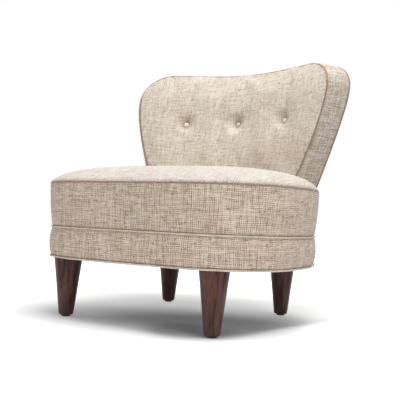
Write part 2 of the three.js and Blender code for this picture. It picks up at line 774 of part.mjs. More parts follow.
function springEnds(x) {
  const inset = railInnerInset - CLIP_SETBACK - CLIP_DEPTH;
  return [crossSeat(x, inset, false), crossSeat(x, inset, true)];
}

function sinuousSpring(x) {
  const [startY, endY] = springEnds(x);
  const points = [
    new THREE.Vector3(x, startY + CLEARANCE, springZ),
    new THREE.Vector3(x, startY + SPRING_TAIL, springZ),
  ];
  const turns = 2 * SPRING_WAVES;
  const runStart = startY + SPRING_LEAD;
  const runEnd = endY - SPRING_LEAD;
  for (let i = 0; i <= turns; i += 1) {
    const share = i / turns;
    const y = THREE.MathUtils.lerp(runStart, runEnd, share);
    const z = springZ + SPRING_ARCH * 4 * share * (1 - share);
    const side = i === 0 || i === turns ? 0 : (-1) ** i;
    points.push(new THREE.Vector3(x + side * SPRING_HALF_WIDTH, y, z));
  }
  points.push(new THREE.Vector3(x, endY - SPRING_TAIL, springZ));
  points.push(new THREE.Vector3(x, endY - CLEARANCE, springZ));
  const path = new THREE.CatmullRomCurve3(points, false, "centripetal");
  const section = new THREE.Shape();
  const wireRadius = SPRING_WIRE_DIAMETER / 2;
  for (let i = 0; i < SPRING_WIRE_SIDE_COUNT; i += 1) {
    const angle = 2 * Math.PI * i / SPRING_WIRE_SIDE_COUNT;
    const method = i === 0 ? "moveTo" : "lineTo";
    section[method](wireRadius * Math.cos(angle), wireRadius * Math.sin(angle));
  }
  section.closePath();
  return new THREE.ExtrudeGeometry(section, {
    steps: SPRING_STEPS_PER_TURN * turns,
    bevelEnabled: false,
    extrudePath: path,
  });
}

function clipsAt(atRear) {
  const height = springZ - frameTopZ + SPRING_WIRE_DIAMETER / 2 + CLIP_WALL;
  return springPlaces.map((x) => {
    const end = springEnds(x)[atRear ? 1 : 0];
    const y = end + (atRear ? -1 : 1) * CLIP_DEPTH / 2;
    return new THREE.BoxGeometry(CLIP_WIDTH, CLIP_DEPTH, 2 * height)
      .translate(x, y, frameTopZ);
  });
}

function springBores() {
  return springPlaces.map((x) => {
    const [startY, endY] = springEnds(x);
    const bore = cylinder(SPRING_WIRE_DIAMETER + 2 * CLEARANCE, endY - startY + 2 * CUT_OVERRUN);
    return bore.rotateX(Math.PI / 2).translate(x, (startY + endY) / 2, springZ);
  });
}

function buildSprings() {
  springPlaces.forEach((x, i) => addPiece(`seat_spring_${i + 1}`, sinuousSpring(x), steel));
  const inset = railInnerInset - CLEARANCE;
  const pad = seatPrism(-inset + CLIP_DEPTH, insulatorBottomZ, insulatorBottomZ + INSULATOR_THICKNESS);
  addPiece("spring_insulator", cut(pad, postCutters), felt);
}

// Frame: four sawn rails that follow the plan, blocked at the legs

function sawnRail(from, to) {
  const gap = CLEARANCE / 2 / seatPlan.total;
  const first = Math.round(SEAT_STATION_COUNT * from);
  const last = Math.round(SEAT_STATION_COUNT * to);
  const shares = Array.from({ length: last - first + 1 }, (unused, i) => (first + i) / SEAT_STATION_COUNT);
  shares[0] += gap;
  shares[shares.length - 1] -= gap;
  const section = [
    [-railOuterInset, frameBottomZ],
    [-railInnerInset, frameBottomZ],
    [-railInnerInset, frameTopZ],
    [-railOuterInset, frameTopZ],
  ];
  return sweepSeat(section, shares, false);
}

const backBoltZ = frameBottomZ + BACK_BOLT_UP;

function backBoltCutters() {
  const rearY = crossSeat(POST_X, railOuterInset, true);
  return Object.values(post).flatMap((x) => [
    cylinder(BACK_BOLT_DIAMETER + 2 * CLEARANCE, 2 * RAIL_THICKNESS + 2 * BACK_BOLT_IN_POST)
      .rotateX(Math.PI / 2).translate(x, postRearY, backBoltZ),
    cylinder(BACK_BOLT_HEAD_DIAMETER + 2 * CLEARANCE, 2 * BACK_BOLT_HEAD_HEIGHT + POST_WIDTH)
      .rotateX(Math.PI / 2)
      .translate(x, boltHeadY(rearY) + POST_WIDTH / 2, backBoltZ),
  ]);
}

// The head lies sunk in the rail, below the curve of its outer face
function boltHeadY(railRearY) {
  const sink = BACK_BOLT_HEAD_DIAMETER * POST_X / seatRearRadius;
  return railRearY - sink - BACK_BOLT_HEAD_HEIGHT;
}

function buildFrame() {
  const names = ["front_rail", "right_rail", "rear_rail", "left_rail"];
  names.forEach((name, i) => {
    let rail = sawnRail(rail_end_shares[i], rail_end_shares[i + 1]);
    if (name === "front_rail") rail = cut(join(rail, clipsAt(false)), springBores());
    if (name === "rear_rail") {
      rail = cut(join(rail, clipsAt(true)), [...springBores(), ...postCutters, ...backBoltCutters()]);
    }
    addPiece(name, rail, hardwood);
  });
  const inside = seatPrism(-railInnerInset - CLEARANCE, frameBottomZ, blockTopZ);
  for (const [place, x, y] of leg_places) {
    const outline = new THREE.Shape();
    const isRear = y > SEAT_CROWN_CENTRE_Y;
    // A rear block stops at the back's post
    const inX = isRear ? rearLegX - POST_X - POST_WIDTH / 2 - CLEARANCE : BLOCK_WIDTH / 2;
    const inY = BLOCK_DEPTH / 2;
    outline.moveTo(-inX - RAIL_THICKNESS * 2, -inY - RAIL_THICKNESS);
    outline.lineTo(inX, -inY - RAIL_THICKNESS);
    outline.lineTo(inX, inY - BLOCK_CHAMFER);
    outline.lineTo(inX - BLOCK_CHAMFER, inY);
    outline.lineTo(-inX - RAIL_THICKNESS * 2, inY);
    outline.closePath();
    // Drawn for the front left corner: outward is -x and -y
    const block = new THREE.ExtrudeGeometry(outline, { depth: 2 * RAIL_HEIGHT, bevelEnabled: false });
    block.translate(0, 0, frameBottomZ - RAIL_HEIGHT / 2);
    if (x > 0) block.rotateY(Math.PI).translate(0, 0, 2 * frameBottomZ + RAIL_HEIGHT);
    if (isRear) {
      block.rotateX(Math.PI).translate(0, 0, 2 * frameBottomZ + RAIL_HEIGHT);
    }
    block.translate(x, y, 0);
    const bore = cylinder(TEE_NUT_BARREL_DIAMETER + 2 * CLEARANCE, 2 * RAIL_HEIGHT + BLOCK_HEIGHT);
    bore.translate(x, y, frameBottomZ);
    addPiece(`corner_block_${place}`, cut(common(inside, block), [bore]), hardwood);
  }
}

// Legs, their glides and their fixings

function legProfile() {
  const top = LEG_TOP_DIAMETER / 2;
  const bottom = LEG_BOTTOM_DIAMETER / 2;
  const footZ = GLIDE_HEIGHT + CLEARANCE;
  const nailBore = GLIDE_NAIL_DIAMETER / 2 + CLEARANCE;
  const boltBore = HANGER_BOLT_DIAMETER / 2 + CLEARANCE;
  const toe = [];
  for (let i = 0; i <= LEG_TOE_STEP_COUNT; i += 1) {
    const angle = Math.PI / 2 * i / LEG_TOE_STEP_COUNT;
    toe.push([
      bottom - LEG_TOE_RADIUS * (1 - Math.sin(angle)),
      footZ + LEG_TOE_RADIUS * (1 - Math.cos(angle)),
    ]);
  }
  return [
    [0, GLIDE_NAIL_LENGTH + footZ + CLEARANCE],
    [nailBore, GLIDE_NAIL_LENGTH + footZ + CLEARANCE],
    [nailBore, footZ],
    ...toe,
    [top - LEG_SHOULDER_RADIUS * LEG_SHOULDER_SHARE, legTopZ - LEG_SHOULDER_RADIUS],
    [top - LEG_SHOULDER_RADIUS, legTopZ],
    [boltBore, legTopZ],
    [boltBore, legTopZ - HANGER_BOLT_IN_LEG - CLEARANCE],
    [0, legTopZ - HANGER_BOLT_IN_LEG - CLEARANCE],
  ];
}

function glideProfile() {
  const radius = GLIDE_DIAMETER / 2;
  const nail = GLIDE_NAIL_DIAMETER / 2;
  return [
    [0, 0],
    [radius - GLIDE_EDGE, 0],
    [radius, GLIDE_EDGE],
    [radius, GLIDE_HEIGHT],
    [nail, GLIDE_HEIGHT],
    [nail, GLIDE_HEIGHT + GLIDE_NAIL_LENGTH - nail],
    [0, GLIDE_HEIGHT + GLIDE_NAIL_LENGTH],
  ];
}

function hangerBoltProfile() {
  const radius = HANGER_BOLT_DIAMETER / 2;
  const bottomZ = legTopZ - HANGER_BOLT_IN_LEG;
  const topZ = blockTopZ + CLEARANCE + TEE_NUT_FLANGE_THICKNESS;
  return [
    [0, bottomZ],
    [radius - HANGER_BOLT_CHAMFER, bottomZ],
    [radius, bottomZ + HANGER_BOLT_CHAMFER],
    [radius, topZ - HANGER_BOLT_CHAMFER],
    [radius - HANGER_BOLT_CHAMFER, topZ],
    [0, topZ],
  ];
}

function teeNutProfile() {
  const bore = HANGER_BOLT_DIAMETER / 2 + CLEARANCE;
  const barrel = TEE_NUT_BARREL_DIAMETER / 2;
  const flange = TEE_NUT_FLANGE_DIAMETER / 2;
  const seatZ = blockTopZ + CLEARANCE;
  return [
    [bore, seatZ - TEE_NUT_BARREL_LENGTH],
    [barrel, seatZ - TEE_NUT_BARREL_LENGTH],
    [barrel, seatZ],
    [flange, seatZ],
    [flange, seatZ + TEE_NUT_FLANGE_THICKNESS],
    [bore, seatZ + TEE_NUT_FLANGE_THICKNESS],
    [bore, seatZ - TEE_NUT_BARREL_LENGTH],
  ];
}

function buildLegs() {
  for (const [place, x, y] of leg_places) {
    const at = (mesh) => mesh.position.set(x, y, 0);
    at(addPiece(`leg_${place}`, turned(legProfile(), TURNED_SIDE_COUNT), darkWood));
    at(addPiece(`glide_${place}`, turned(glideProfile(), SMALL_TURNED_SIDE_COUNT), nylon));
    at(addPiece(`hanger_bolt_${place}`, turned(hangerBoltProfile(), HIDDEN_TURNED_SIDE_COUNT), steel));
    at(addPiece(`tee_nut_${place}`, turned(teeNutProfile(), HIDDEN_TURNED_SIDE_COUNT), steel));
  }
}

// Back

function tuftFrame(side) {
  const u = side * TUFT_SPACING;
  const angle = u / BACK_FRONT_RADIUS;
  const face = BACK_FRONT_RADIUS - backSwell(u, TUFT_Z, side === 0 ? 0 : tuftRingShare);
  const seat = backPoint(u, TUFT_Z, face);
  const turn = new THREE.Quaternion().setFromAxisAngle(new THREE.Vector3(0, 0, 1), -angle);
  return { seat, turn, face, u };
}

// A piece turned about its own axis, laid along the way out of the tuft, toward the front
function placeOnTuft(geometry, frame) {
  geometry.rotateX(Math.PI / 2);
  geometry.applyQuaternion(frame.turn);
  return geometry.translate(frame.seat.x, frame.seat.y, frame.seat.z);
}

function buttonProfile(extra = 0) {
  const radius = BUTTON_DIAMETER / 2 + extra;
  const shank = BUTTON_SHANK_DIAMETER / 2 + extra;
  const base = TUFT_DEPTH * (1 - Math.exp(-BUTTON_DIAMETER / 2 / TUFT_REACH)) + 2 * CLEARANCE;
  const height = BUTTON_HEIGHT + 2 * extra;
  const head = button_section_shares.map(([out, up]) => [radius * out, base - extra + height * up]);
  return [
    [0, CLEARANCE - extra],
    [shank, CLEARANCE - extra],
    [shank, base - extra],
    ...head,
  ];
}

function twineProfile(frame, extra = 0) {
  const radius = TWINE_DIAMETER / 2 + extra;
  const knot = TWINE_KNOT_DIAMETER / 2 + extra;
  const length = backRearRadius - clothInset - frame.face - TWINE_END_SETBACK;
  return [
    [0, -length - extra],
    [knot, -length - extra],
    [knot, -length + TWINE_KNOT_DIAMETER / 2 + extra],
    [radius, -length + TWINE_KNOT_DIAMETER / 2 + extra],
    [radius, extra],
    [0, extra],
  ];
}

const tufts = [["left", -1], ["middle", 0], ["right", 1]].map(([name, side]) => {
  const frame = tuftFrame(side);
  return {
    name,
    button: placeOnTuft(turned(buttonProfile(), SMALL_TURNED_SIDE_COUNT), frame),
    buttonRoom: placeOnTuft(turned(buttonProfile(CLEARANCE), SMALL_TURNED_SIDE_COUNT), frame),
    twine: placeOnTuft(turned(twineProfile(frame), HIDDEN_TURNED_SIDE_COUNT), frame),
    twineRoom: placeOnTuft(turned(twineProfile(frame, CLEARANCE), HIDDEN_TURNED_SIDE_COUNT), frame),
  };
});

const bottomRailBottomZ = BACK_BOTTOM_Z + BACK_RAIL_EDGE_GAP;
const bottomRailTopZ = bottomRailBottomZ + BACK_RAIL_HEIGHT;
const bottomRailSpread = (backMiddleRadius + BACK_RAIL_THICKNESS / 2 + CLEARANCE) / backMiddleRadius;
const bottomRailEnd = (POST_X - POST_WIDTH / 2 - CLEARANCE) / bottomRailSpread - CLEARANCE;

function buildBack() {
  const tuftRoom = tufts.flatMap((tuft) => [tuft.buttonRoom, tuft.twineRoom]);
  const edge = -weltRadius - CLEARANCE;
  const frontOf = (back) => (u, z, share) => BACK_FRONT_RADIUS + back - backSwell(u, z, share);
  const coverRings = [
    ...backSheetRings(back_ring_shares, edge, frontOf(0)),
    ...backSheetRings(back_ring_shares, edge, frontOf(CLOTH_THICKNESS)).reverse(),
  ];
  addPiece("inside_back_cover", cut(ringBody(coverRings), tuftRoom), linenTop);

  const rearAt = (radius) => () => radius;
  const foamRings = [
    ...backSheetRings(back_ring_shares, edge, frontOf(clothInset)),
    ...backSheetRings(rear_ring_shares, edge, rearAt(backRearRadius - clothInset)),
  ];
  const frameRoom = [
    ...postCutters,
    backRail(-TOP_RAIL_HALF_WIDTH, TOP_RAIL_HALF_WIDTH, topRailBottomZ, topRailTopZ, CLEARANCE),
    backRail(-POST_X, POST_X, bottomRailBottomZ, bottomRailTopZ, CLEARANCE),
  ];
  addPiece("back_foam", cut(ringBody(foamRings), [...frameRoom, ...tuftRoom]), foam);

  const outsideRings = [
    ...backSheetRings(rear_ring_shares, edge, rearAt(backRearRadius - CLOTH_THICKNESS)).reverse(),
    ...backSheetRings(rear_ring_shares, edge, rearAt(backRearRadius)),
  ];
  addPiece("outside_back_cover", ringBody(outsideRings), linenSide);

  const start = BACK_FRONT_RADIUS + weltRadius + CLEARANCE;
  const end = backRearRadius - weltRadius - CLEARANCE;
  const middle = (start + end) / 2;
  const band = [
    [start, 0],
    [middle, BACK_BOXING_FULLNESS],
    [end, 0],
    [end, -CLOTH_THICKNESS],
    [middle, BACK_BOXING_FULLNESS - CLOTH_THICKNESS],
    [start, -CLOTH_THICKNESS],
  ];
  addPiece("back_boxing_band", cut(sweepBack(band), postCutters), linenSide);
  addPiece("back_front_welt", backCord(BACK_FRONT_RADIUS), linenCord);
  addPiece("back_rear_welt", backCord(backRearRadius), linenCord);
  for (const tuft of tufts) {
    addPiece(`tufting_button_${tuft.name}`, tuft.button, linenTop);
    addPiece(`tufting_twine_${tuft.name}`, tuft.twine, twine);
  }
}

function buildBackFrame() {
  const boltRoom = backBoltCutters();
  const rearY = crossSeat(POST_X, railOuterInset, true);
  for (const [side, x] of Object.entries(post)) {
    addPiece(`back_post_${side}`, cut(backPost(x), boltRoom), hardwood);
    const headY = boltHeadY(rearY);
    const radius = BACK_BOLT_DIAMETER / 2;
    const head = BACK_BOLT_HEAD_DIAMETER / 2;
    const tip = postRearY - BACK_BOLT_IN_POST;
    const bolt = turned([
      [0, tip - headY],
      [radius, tip - headY],
      [radius, CLEARANCE],
      [head, CLEARANCE],
      [head * BOLT_HEAD_TOP_SHARE, BACK_BOLT_HEAD_HEIGHT],
      [0, BACK_BOLT_HEAD_HEIGHT],
    ], HIDDEN_TURNED_SIDE_COUNT);
    bolt.rotateX(-Math.PI / 2).translate(x, headY, backBoltZ);
    addPiece(`back_bolt_${side}`, bolt, steel);
  }
  const topRail = backRail(-TOP_RAIL_HALF_WIDTH, TOP_RAIL_HALF_WIDTH, topRailBottomZ, topRailTopZ);
  addPiece("back_top_rail", topRail, hardwood);
  const bottomRail = backRail(-bottomRailEnd, bottomRailEnd, bottomRailBottomZ, bottomRailTopZ);
  addPiece("back_bottom_rail", bottomRail, hardwood);
}

buildLegs();
buildFrame();
buildBase();
buildSprings();
buildSeatSoftGoods();
buildBackFrame();
buildBack();

// The origin is on the floor, in the middle of the chair's box
chair.updateMatrixWorld(true);
const box = new THREE.Box3().setFromObject(chair, true);
chair.position.y = -(box.min.y + box.max.y) / 2;

export default chair;
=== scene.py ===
"""An armless slipper chair in natural slub linen, on four turned and tapered dark legs."""
import math
from bisect import bisect_right
from functools import partial

import bpy
from mathutils import Matrix, Vector, noise


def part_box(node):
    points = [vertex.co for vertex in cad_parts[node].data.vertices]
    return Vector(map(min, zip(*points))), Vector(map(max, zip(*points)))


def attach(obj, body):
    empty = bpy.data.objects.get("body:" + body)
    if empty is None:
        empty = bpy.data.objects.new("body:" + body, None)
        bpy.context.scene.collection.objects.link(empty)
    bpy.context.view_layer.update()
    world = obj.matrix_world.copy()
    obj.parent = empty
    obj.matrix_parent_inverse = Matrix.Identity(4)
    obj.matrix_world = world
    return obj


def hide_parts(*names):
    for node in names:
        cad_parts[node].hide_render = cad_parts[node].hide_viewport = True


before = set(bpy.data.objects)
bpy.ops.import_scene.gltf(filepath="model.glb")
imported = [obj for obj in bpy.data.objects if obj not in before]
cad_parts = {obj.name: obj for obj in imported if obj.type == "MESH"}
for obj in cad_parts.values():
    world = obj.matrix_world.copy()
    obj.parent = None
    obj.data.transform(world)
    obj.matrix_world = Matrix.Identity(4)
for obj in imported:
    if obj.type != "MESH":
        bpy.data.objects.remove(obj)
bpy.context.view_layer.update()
MM = 0.001

# Cloth and cord
CLOTH = 1.6 * MM
DUST_CLOTH = 0.6 * MM
SETTLE_FRAMES = 20
CLOTH_CLEARANCE = 1.1 * MM
WELT_RADIUS = 3.2 * MM
CORD_RADIUS = 2.4 * MM
CORD_OUTSET = 1.2 * MM
SUNK_CORD_INSET = 2.2 * MM
REAR_CORD_INSET = 0.4 * MM
SEAM_TUCK = 2.2 * MM
SEAM_TUCK_REACH = 2.4 * MM
SHALLOW_TUCK = 0.4 * MM
# Painted shade beside seams: how far it reaches, and how dark it is at a sheet's edge
SEAM_PAINTED_SHADE_REACH = 2.0 * MM
SHEET_SEAM_PAINTED_SHADE = 0.7
SHEET_RIM = 0.2 * MM
SHEET_HALF_DEPTH = 330 * MM
PUCKER_DEPTH = 0.45 * MM
PUCKER_REACH = 9 * MM
THREAD_PITCH = 2.5 * MM
CORD_THREAD_PITCH = 1.8 * MM
SEAT_ROW_POWER = 1.35
BACK_ROW_POWER = 1.2
BAND_ROW_CROWDING = 0.55

# Seat plan, measured at the middle welt, with y = 0 at its front edge
SEAT_FRONT_HALF_WIDTH = 317 * MM
SEAT_REAR_HALF_WIDTH = 318 * MM
SEAT_SIDE_DEPTH = 528 * MM
SEAT_SIDE_BOW = 56.5 * MM
SEAT_FRONT_BOW = 1.3 * MM
SEAT_CORNER_REACH = 183 * MM
SEAT_REAR_MARGIN = 14 * MM
CORNER_WEIGHT = 0.75
REAR_CORNER_TURN = 0.055

# Seat heights
BASE_WELT_Z = 167.4 * MM
MIDDLE_WELT_Z = 250.6 * MM
TOP_WELT_Z = 374.7 * MM
TOP_WELT_FLARE = 9.4 * MM
TOP_WELT_RISE = 0.0138
SEAT_CROWN = 60.4 * MM
SEAT_CROWN_CENTRE_Y = 380 * MM
SEAT_CROWN_TILT = 0.022
SEAT_CROWN_TILT_Y = 300 * MM
CROWN_POWER = 3.5
CROWN_ROUND = 0.57
BOXING_FULLNESS = 2.4 * MM
BASE_FULLNESS = 5.5 * MM
DUST_COVER_Z = 165.5 * MM
DUST_COVER_INSET = 4 * MM
DUST_COVER_SAG = 2.5 * MM

# Back: its faces are arcs about one leaning axis
BACK_FRONT_RADIUS = 573 * MM
BACK_THICKNESS = 80 * MM
BACK_FRONT_Y = 551 * MM
BACK_DATUM_Z = 400 * MM
BACK_LEAN = math.radians(16)
BACK_BOTTOM_Z = 391 * MM
BACK_BOTTOM_HALF_WIDTH = 282 * MM
BACK_BOTTOM_CORNER_RADIUS = 16 * MM
BACK_WIDEST_HALF_WIDTH = 370 * MM
BACK_WIDEST_Z = 707 * MM
BACK_EAR_Z = 802 * MM
BACK_EAR_WIDTH = 112 * MM
BACK_DIP = 6 * MM
BACK_FRONT_DRAW = 24 * MM
BACK_FRONT_DRAW_TOP_Z = 605 * MM
BACK_CROWN = 15 * MM
BACK_BOXING_FULLNESS = 3 * MM
SIDE_SOFTNESS = 0.2
EAR_CORNER_SHARE = 0.75
# Painted warm shade on the inside back's lower right, near the seat
WARM_CORNER_PAINTED_SHADE = 0.22

# Tufts
TUFT_SIDES = (-1, 0, 1)
TUFT_SPACING = 190 * MM
TUFT_Z = 616 * MM
TUFT_DEPTH = 27 * MM
TUFT_REACH = 38 * MM
BUTTON_RADIUS = 9 * MM
TUFT_RING = 5 * MM
TUFT_RING_RADIUS = 40 * MM
TUFT_RING_WIDTH = 19 * MM
TUFT_SWELL = 6.5 * MM
TUFT_SWELL_ASIDE = 17 * MM
TUFT_SWELL_BELOW = 22 * MM
TUFT_SWELL_WIDTH = 13 * MM
PLEAT_DEPTH = 5 * MM
PLEAT_WIDTH = 13 * MM
PLEATS_ABOVE = ((0.03, 1.0), (0.16, 0.45), (-0.12, 0.4))
PLEATS_BELOW = (-0.22, 0.2)
BACK_FULLNESS = 10 * MM

# Legs and glides
LEG_TOP_RADIUS = 39.35 * MM
LEG_BOTTOM_RADIUS = 20 * MM
LEG_TOP_Z = 164.7 * MM
LEG_TOE_RADIUS = 5 * MM
GLIDE_HEIGHT = 4 * MM
GLIDE_RADIUS = 12 * MM
GLIDE_GAP = 0.3 * MM
LEG_PLACES = ("front_left", "front_right", "rear_left", "rear_right")
BOLT_HOLE_RADIUS = 12 * MM
SMOOTH_ANGLE = math.radians(40)

# Light and camera; the camera's angles are in radians
LIGHT_AIM_Z = 0.35
CAMERA_PLACE = (998.19 * MM, -1315.65 * MM, 287.7 * MM)
CAMERA_YAW = 0.5319
CAMERA_PITCH = 0.0305
CAMERA_ROLL = 0.0419
SENSOR_WIDTH = 36
FOCAL_PIXELS = 638.43
FRAME_PIXELS = 400

# How much longer the wood's grain is along z than across
GRAIN_STRETCH = 14.0

# The plan's y = 0 in the row frame
front_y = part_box("seat_middle_welt")[0][1] + WELT_RADIUS + SEAT_FRONT_BOW
back_rear_radius = BACK_FRONT_RADIUS + BACK_THICKNESS
back_axis_y = BACK_FRONT_Y - BACK_FRONT_RADIUS
back_slope = math.tan(BACK_LEAN)
ear_u = BACK_WIDEST_HALF_WIDTH - BACK_EAR_WIDTH


def lerp(a, b, t):
    return a + (b - a) * t


def ripple(x, y, size, seed):
    """Smooth noise from -1 to 1, whose waves are about that size."""
    return noise.noise(Vector((x / size, y / size, seed)))


# Outlines


def conic(start, corner, end, steps):
    points = []
    for i in range(steps + 1):
        t = i / steps
        a = (1 - t) ** 2
        b = 2 * CORNER_WEIGHT * t * (1 - t)
        c = t * t
        points.append((start * a + corner * b + end * c) / (a + b + c))
    return points


def crossing(p, direction_p, q, direction_q):
    travel = (q - p).cross(direction_q) / direction_p.cross(direction_q)
    return p + direction_p * travel


class Outline:
    """A closed line that gives the point and the outward normal at any share of its length."""

    def __init__(self, points):
        self.points = points
        self.lengths = [0.0]
        for i, point in enumerate(points):
            ahead = points[(i + 1) % len(points)]
            self.lengths.append(self.lengths[-1] + (ahead - point).length)
        self.total = self.lengths[-1]

    def place(self, share):
        travel = (share % 1.0) * self.total
        i = min(bisect_right(self.lengths, travel) - 1, len(self.points) - 1)
        step = self.lengths[i + 1] - self.lengths[i]
        ahead = self.points[(i + 1) % len(self.points)]
        return self.points[i].lerp(ahead, (travel - self.lengths[i]) / step)

    def at(self, share, offset=0.0):
        reach = 2.0 / len(self.points)
        along = (self.place(share + reach) - self.place(share - reach)).normalized()
        point = self.place(share)
        return Vector((point.x + along.y * offset, point.y - along.x * offset))

    def nearest(self, target):
        index = min(range(len(self.points)), key=lambda i: (self.points[i] - target).length)
        return self.lengths[index] / self.total


def side_point(share):
    x = lerp(SEAT_FRONT_HALF_WIDTH, SEAT_REAR_HALF_WIDTH, share)
    return Vector((x + 4 * SEAT_SIDE_BOW * share * (1 - share), SEAT_SIDE_DEPTH * share))


def side_direction(share):
    lean = SEAT_REAR_HALF_WIDTH - SEAT_FRONT_HALF_WIDTH + 4 * SEAT_SIDE_BOW * (1 - 2 * share)
    return Vector((lean, SEAT_SIDE_DEPTH)).normalized()


def mirrored(points):
    return [Vector((-p.x, p.y)) for p in reversed(points)]


def trace_seat_plan(steps=100):
    """From the front middle round the right side to the rear middle, and back by the left."""
    front_end = SEAT_FRONT_HALF_WIDTH - SEAT_CORNER_REACH

    def front_point(x):
        across = x / SEAT_FRONT_HALF_WIDTH
        return Vector((x, -SEAT_FRONT_BOW * (1 - across * across)))

    half = [front_point(front_end * i / steps) for i in range(steps)]
    corner_share = SEAT_CORNER_REACH / SEAT_SIDE_DEPTH
    start = front_point(front_end)
    end = side_point(corner_share)
    corner = crossing(start, Vector((1, 0)), end, side_direction(corner_share))
    half += conic(start, corner, end, steps)
    half += [side_point(lerp(corner_share, 1, i / steps)) for i in range(1, steps + 1)]
    turn = REAR_CORNER_TURN * 2 * math.pi
    radius = back_rear_radius + SEAT_REAR_MARGIN

    def rear_point(angle):
        return Vector((radius * math.sin(angle), back_axis_y + radius * math.cos(angle)))

    rear_direction = Vector((-math.cos(turn), math.sin(turn)))
    corner = crossing(side_point(1), side_direction(1), rear_point(turn), rear_direction)
    half += conic(side_point(1), corner, rear_point(turn), steps)[1:]
    half += [rear_point(turn * (1 - i / steps)) for i in range(1, steps + 1)]
    return half + mirrored(half[1:-1])


def side_half_width(z):
    down = (BACK_WIDEST_Z - z) / (BACK_WIDEST_Z - BACK_BOTTOM_Z)
    soft = SIDE_SOFTNESS
    eased = (math.sqrt(down * down + soft * soft) - soft) / (math.sqrt(1 + soft * soft) - soft)
    return BACK_WIDEST_HALF_WIDTH - (BACK_WIDEST_HALF_WIDTH - BACK_BOTTOM_HALF_WIDTH) * eased


def top_edge_z(u):
    return BACK_EAR_Z - BACK_DIP * (1 + math.cos(math.pi * u / ear_u)) / 2


def trace_back_outline(steps=100):
    """From the right side at the tuft line, over the top, and back along the bottom, in (u, z)."""

    def side_at(z):
        return Vector((side_half_width(z), z))

    upper = [side_at(lerp(TUFT_Z, BACK_WIDEST_Z, i / steps)) for i in range(steps)]
    for i in range(steps):
        angle = math.pi / 2 * i / steps
        z = BACK_WIDEST_Z + (BACK_EAR_Z - BACK_WIDEST_Z) * math.sin(angle)
        upper.append(Vector((ear_u + BACK_EAR_WIDTH * math.cos(angle), z)))
    for i in range(steps + 1):
        u = ear_u * (1 - i / steps)
        upper.append(Vector((u, top_edge_z(u))))
    lower = []
    radius = BACK_BOTTOM_CORNER_RADIUS
    for i in range(1, steps + 1):
        lower.append(Vector(((BACK_BOTTOM_HALF_WIDTH - radius) * i / steps, BACK_BOTTOM_Z)))
    for i in range(1, steps // 4 + 1):
        angle = math.pi / 2 * i / (steps // 4)
        z = BACK_BOTTOM_Z + radius * (1 - math.cos(angle))
        lower.append(Vector((side_half_width(z) - radius * (1 - math.sin(angle)), z)))
    start_z = BACK_BOTTOM_Z + radius
    lower += [side_at(lerp(start_z, TUFT_Z, i / steps)) for i in range(1, steps + 1)]
    return upper + mirrored(upper)[1:] + mirrored(lower)[1:] + lower[:-1]


seat_plan = Outline(trace_seat_plan())
back_outline = Outline(trace_back_outline())
front_corner = seat_plan.nearest(Vector((SEAT_FRONT_HALF_WIDTH, SEAT_CORNER_REACH / 4)))
rear_corner = seat_plan.nearest(Vector((SEAT_REAR_HALF_WIDTH, SEAT_SIDE_DEPTH)))
SEAT_CORNERS = (-front_corner, front_corner, rear_corner, 1 - rear_corner)
ear_corner_u = ear_u + BACK_EAR_WIDTH * EAR_CORNER_SHARE
ear_corner_z = lerp(BACK_WIDEST_Z, BACK_EAR_Z, EAR_CORNER_SHARE)
ear_corner = back_outline.nearest(Vector((ear_corner_u, ear_corner_z)))
left_ear_corner = back_outline.nearest(Vector((-ear_corner_u, ear_corner_z)))
left_foot_corner = back_outline.nearest(Vector((-BACK_BOTTOM_HALF_WIDTH, BACK_BOTTOM_Z)))
right_foot_corner = back_outline.nearest(Vector((BACK_BOTTOM_HALF_WIDTH, BACK_BOTTOM_Z)))
BACK_CORNERS = (left_foot_corner - 1, right_foot_corner - 1, ear_corner, left_ear_corner)


def across_outline(a, b, corners):
    """A grid's point, from 0 to 1 each way, as a share of the way out and of the outline."""
    x = 2 * a - 1
    y = 2 * b - 1
    out = max(abs(x), abs(y))
    if out == 0:
        return 0.0, corners[0]
    if y == -out:
        return out, lerp(corners[0], corners[1], (x / out + 1) / 2)
    if x == out:
        return out, lerp(corners[1], corners[2], (y / out + 1) / 2)
    if y == out:
        return out, lerp(corners[2], corners[3], (1 - x / out) / 2)
    return out, lerp(corners[3], corners[0] + 1, (1 - y / out) / 2)


# Surfaces


def seat_point(share, offset, z):
    p = seat_plan.at(share, offset)
    return Vector((p.x, p.y + front_y, z))


def back_point(u, z, radius):
    """A place on the back: u runs along the front arc, and the front edge is drawn in low down."""
    down = max(0.0, BACK_FRONT_DRAW_TOP_Z - z) / (BACK_FRONT_DRAW_TOP_Z - BACK_BOTTOM_Z)
    forward = (back_rear_radius - radius) / BACK_THICKNESS
    drawn = BACK_FRONT_DRAW / BACK_BOTTOM_HALF_WIDTH * down * down * forward
    angle = u * (1 - drawn) / BACK_FRONT_RADIUS
    axis_y = front_y + back_axis_y + back_slope * (z - BACK_DATUM_Z)
    return Vector((radius * math.sin(angle), axis_y + radius * math.cos(angle), z))


def seat_top_z(y, out):
    shape = (1 - out**CROWN_POWER) ** CROWN_ROUND
    tilt = SEAT_CROWN_TILT * (y - SEAT_CROWN_TILT_Y)
    return TOP_WELT_Z + TOP_WELT_RISE * y + (SEAT_CROWN + tilt) * shape


def from_tufts(u, z):
    """How far a place on the back is from each tuft, across and up."""
    return [(u - side * TUFT_SPACING, z - TUFT_Z) for side in TUFT_SIDES]


def tuft_dip(u, z):
    distance = min(math.hypot(across, up) for across, up in from_tufts(u, z))
    return TUFT_DEPTH * math.exp(-distance / TUFT_REACH)


def tuft_ring(u, z):
    """The cloth swells round each tuft, most of all above it and to its lower left."""
    rise = 0.0
    for across, up in from_tufts(u, z):
        distance = math.hypot(across, up)
        toward = 0.55 + 0.45 * abs(0.35 * across + 0.94 * up) / max(distance, 1 * MM)
        off = (distance - TUFT_RING_RADIUS) / TUFT_RING_WIDTH
        rise += TUFT_RING * toward * math.exp(-off * off)
        below = math.hypot(across + TUFT_SWELL_ASIDE, up + TUFT_SWELL_BELOW) / TUFT_SWELL_WIDTH
        rise += TUFT_SWELL * math.exp(-below * below)
    return rise


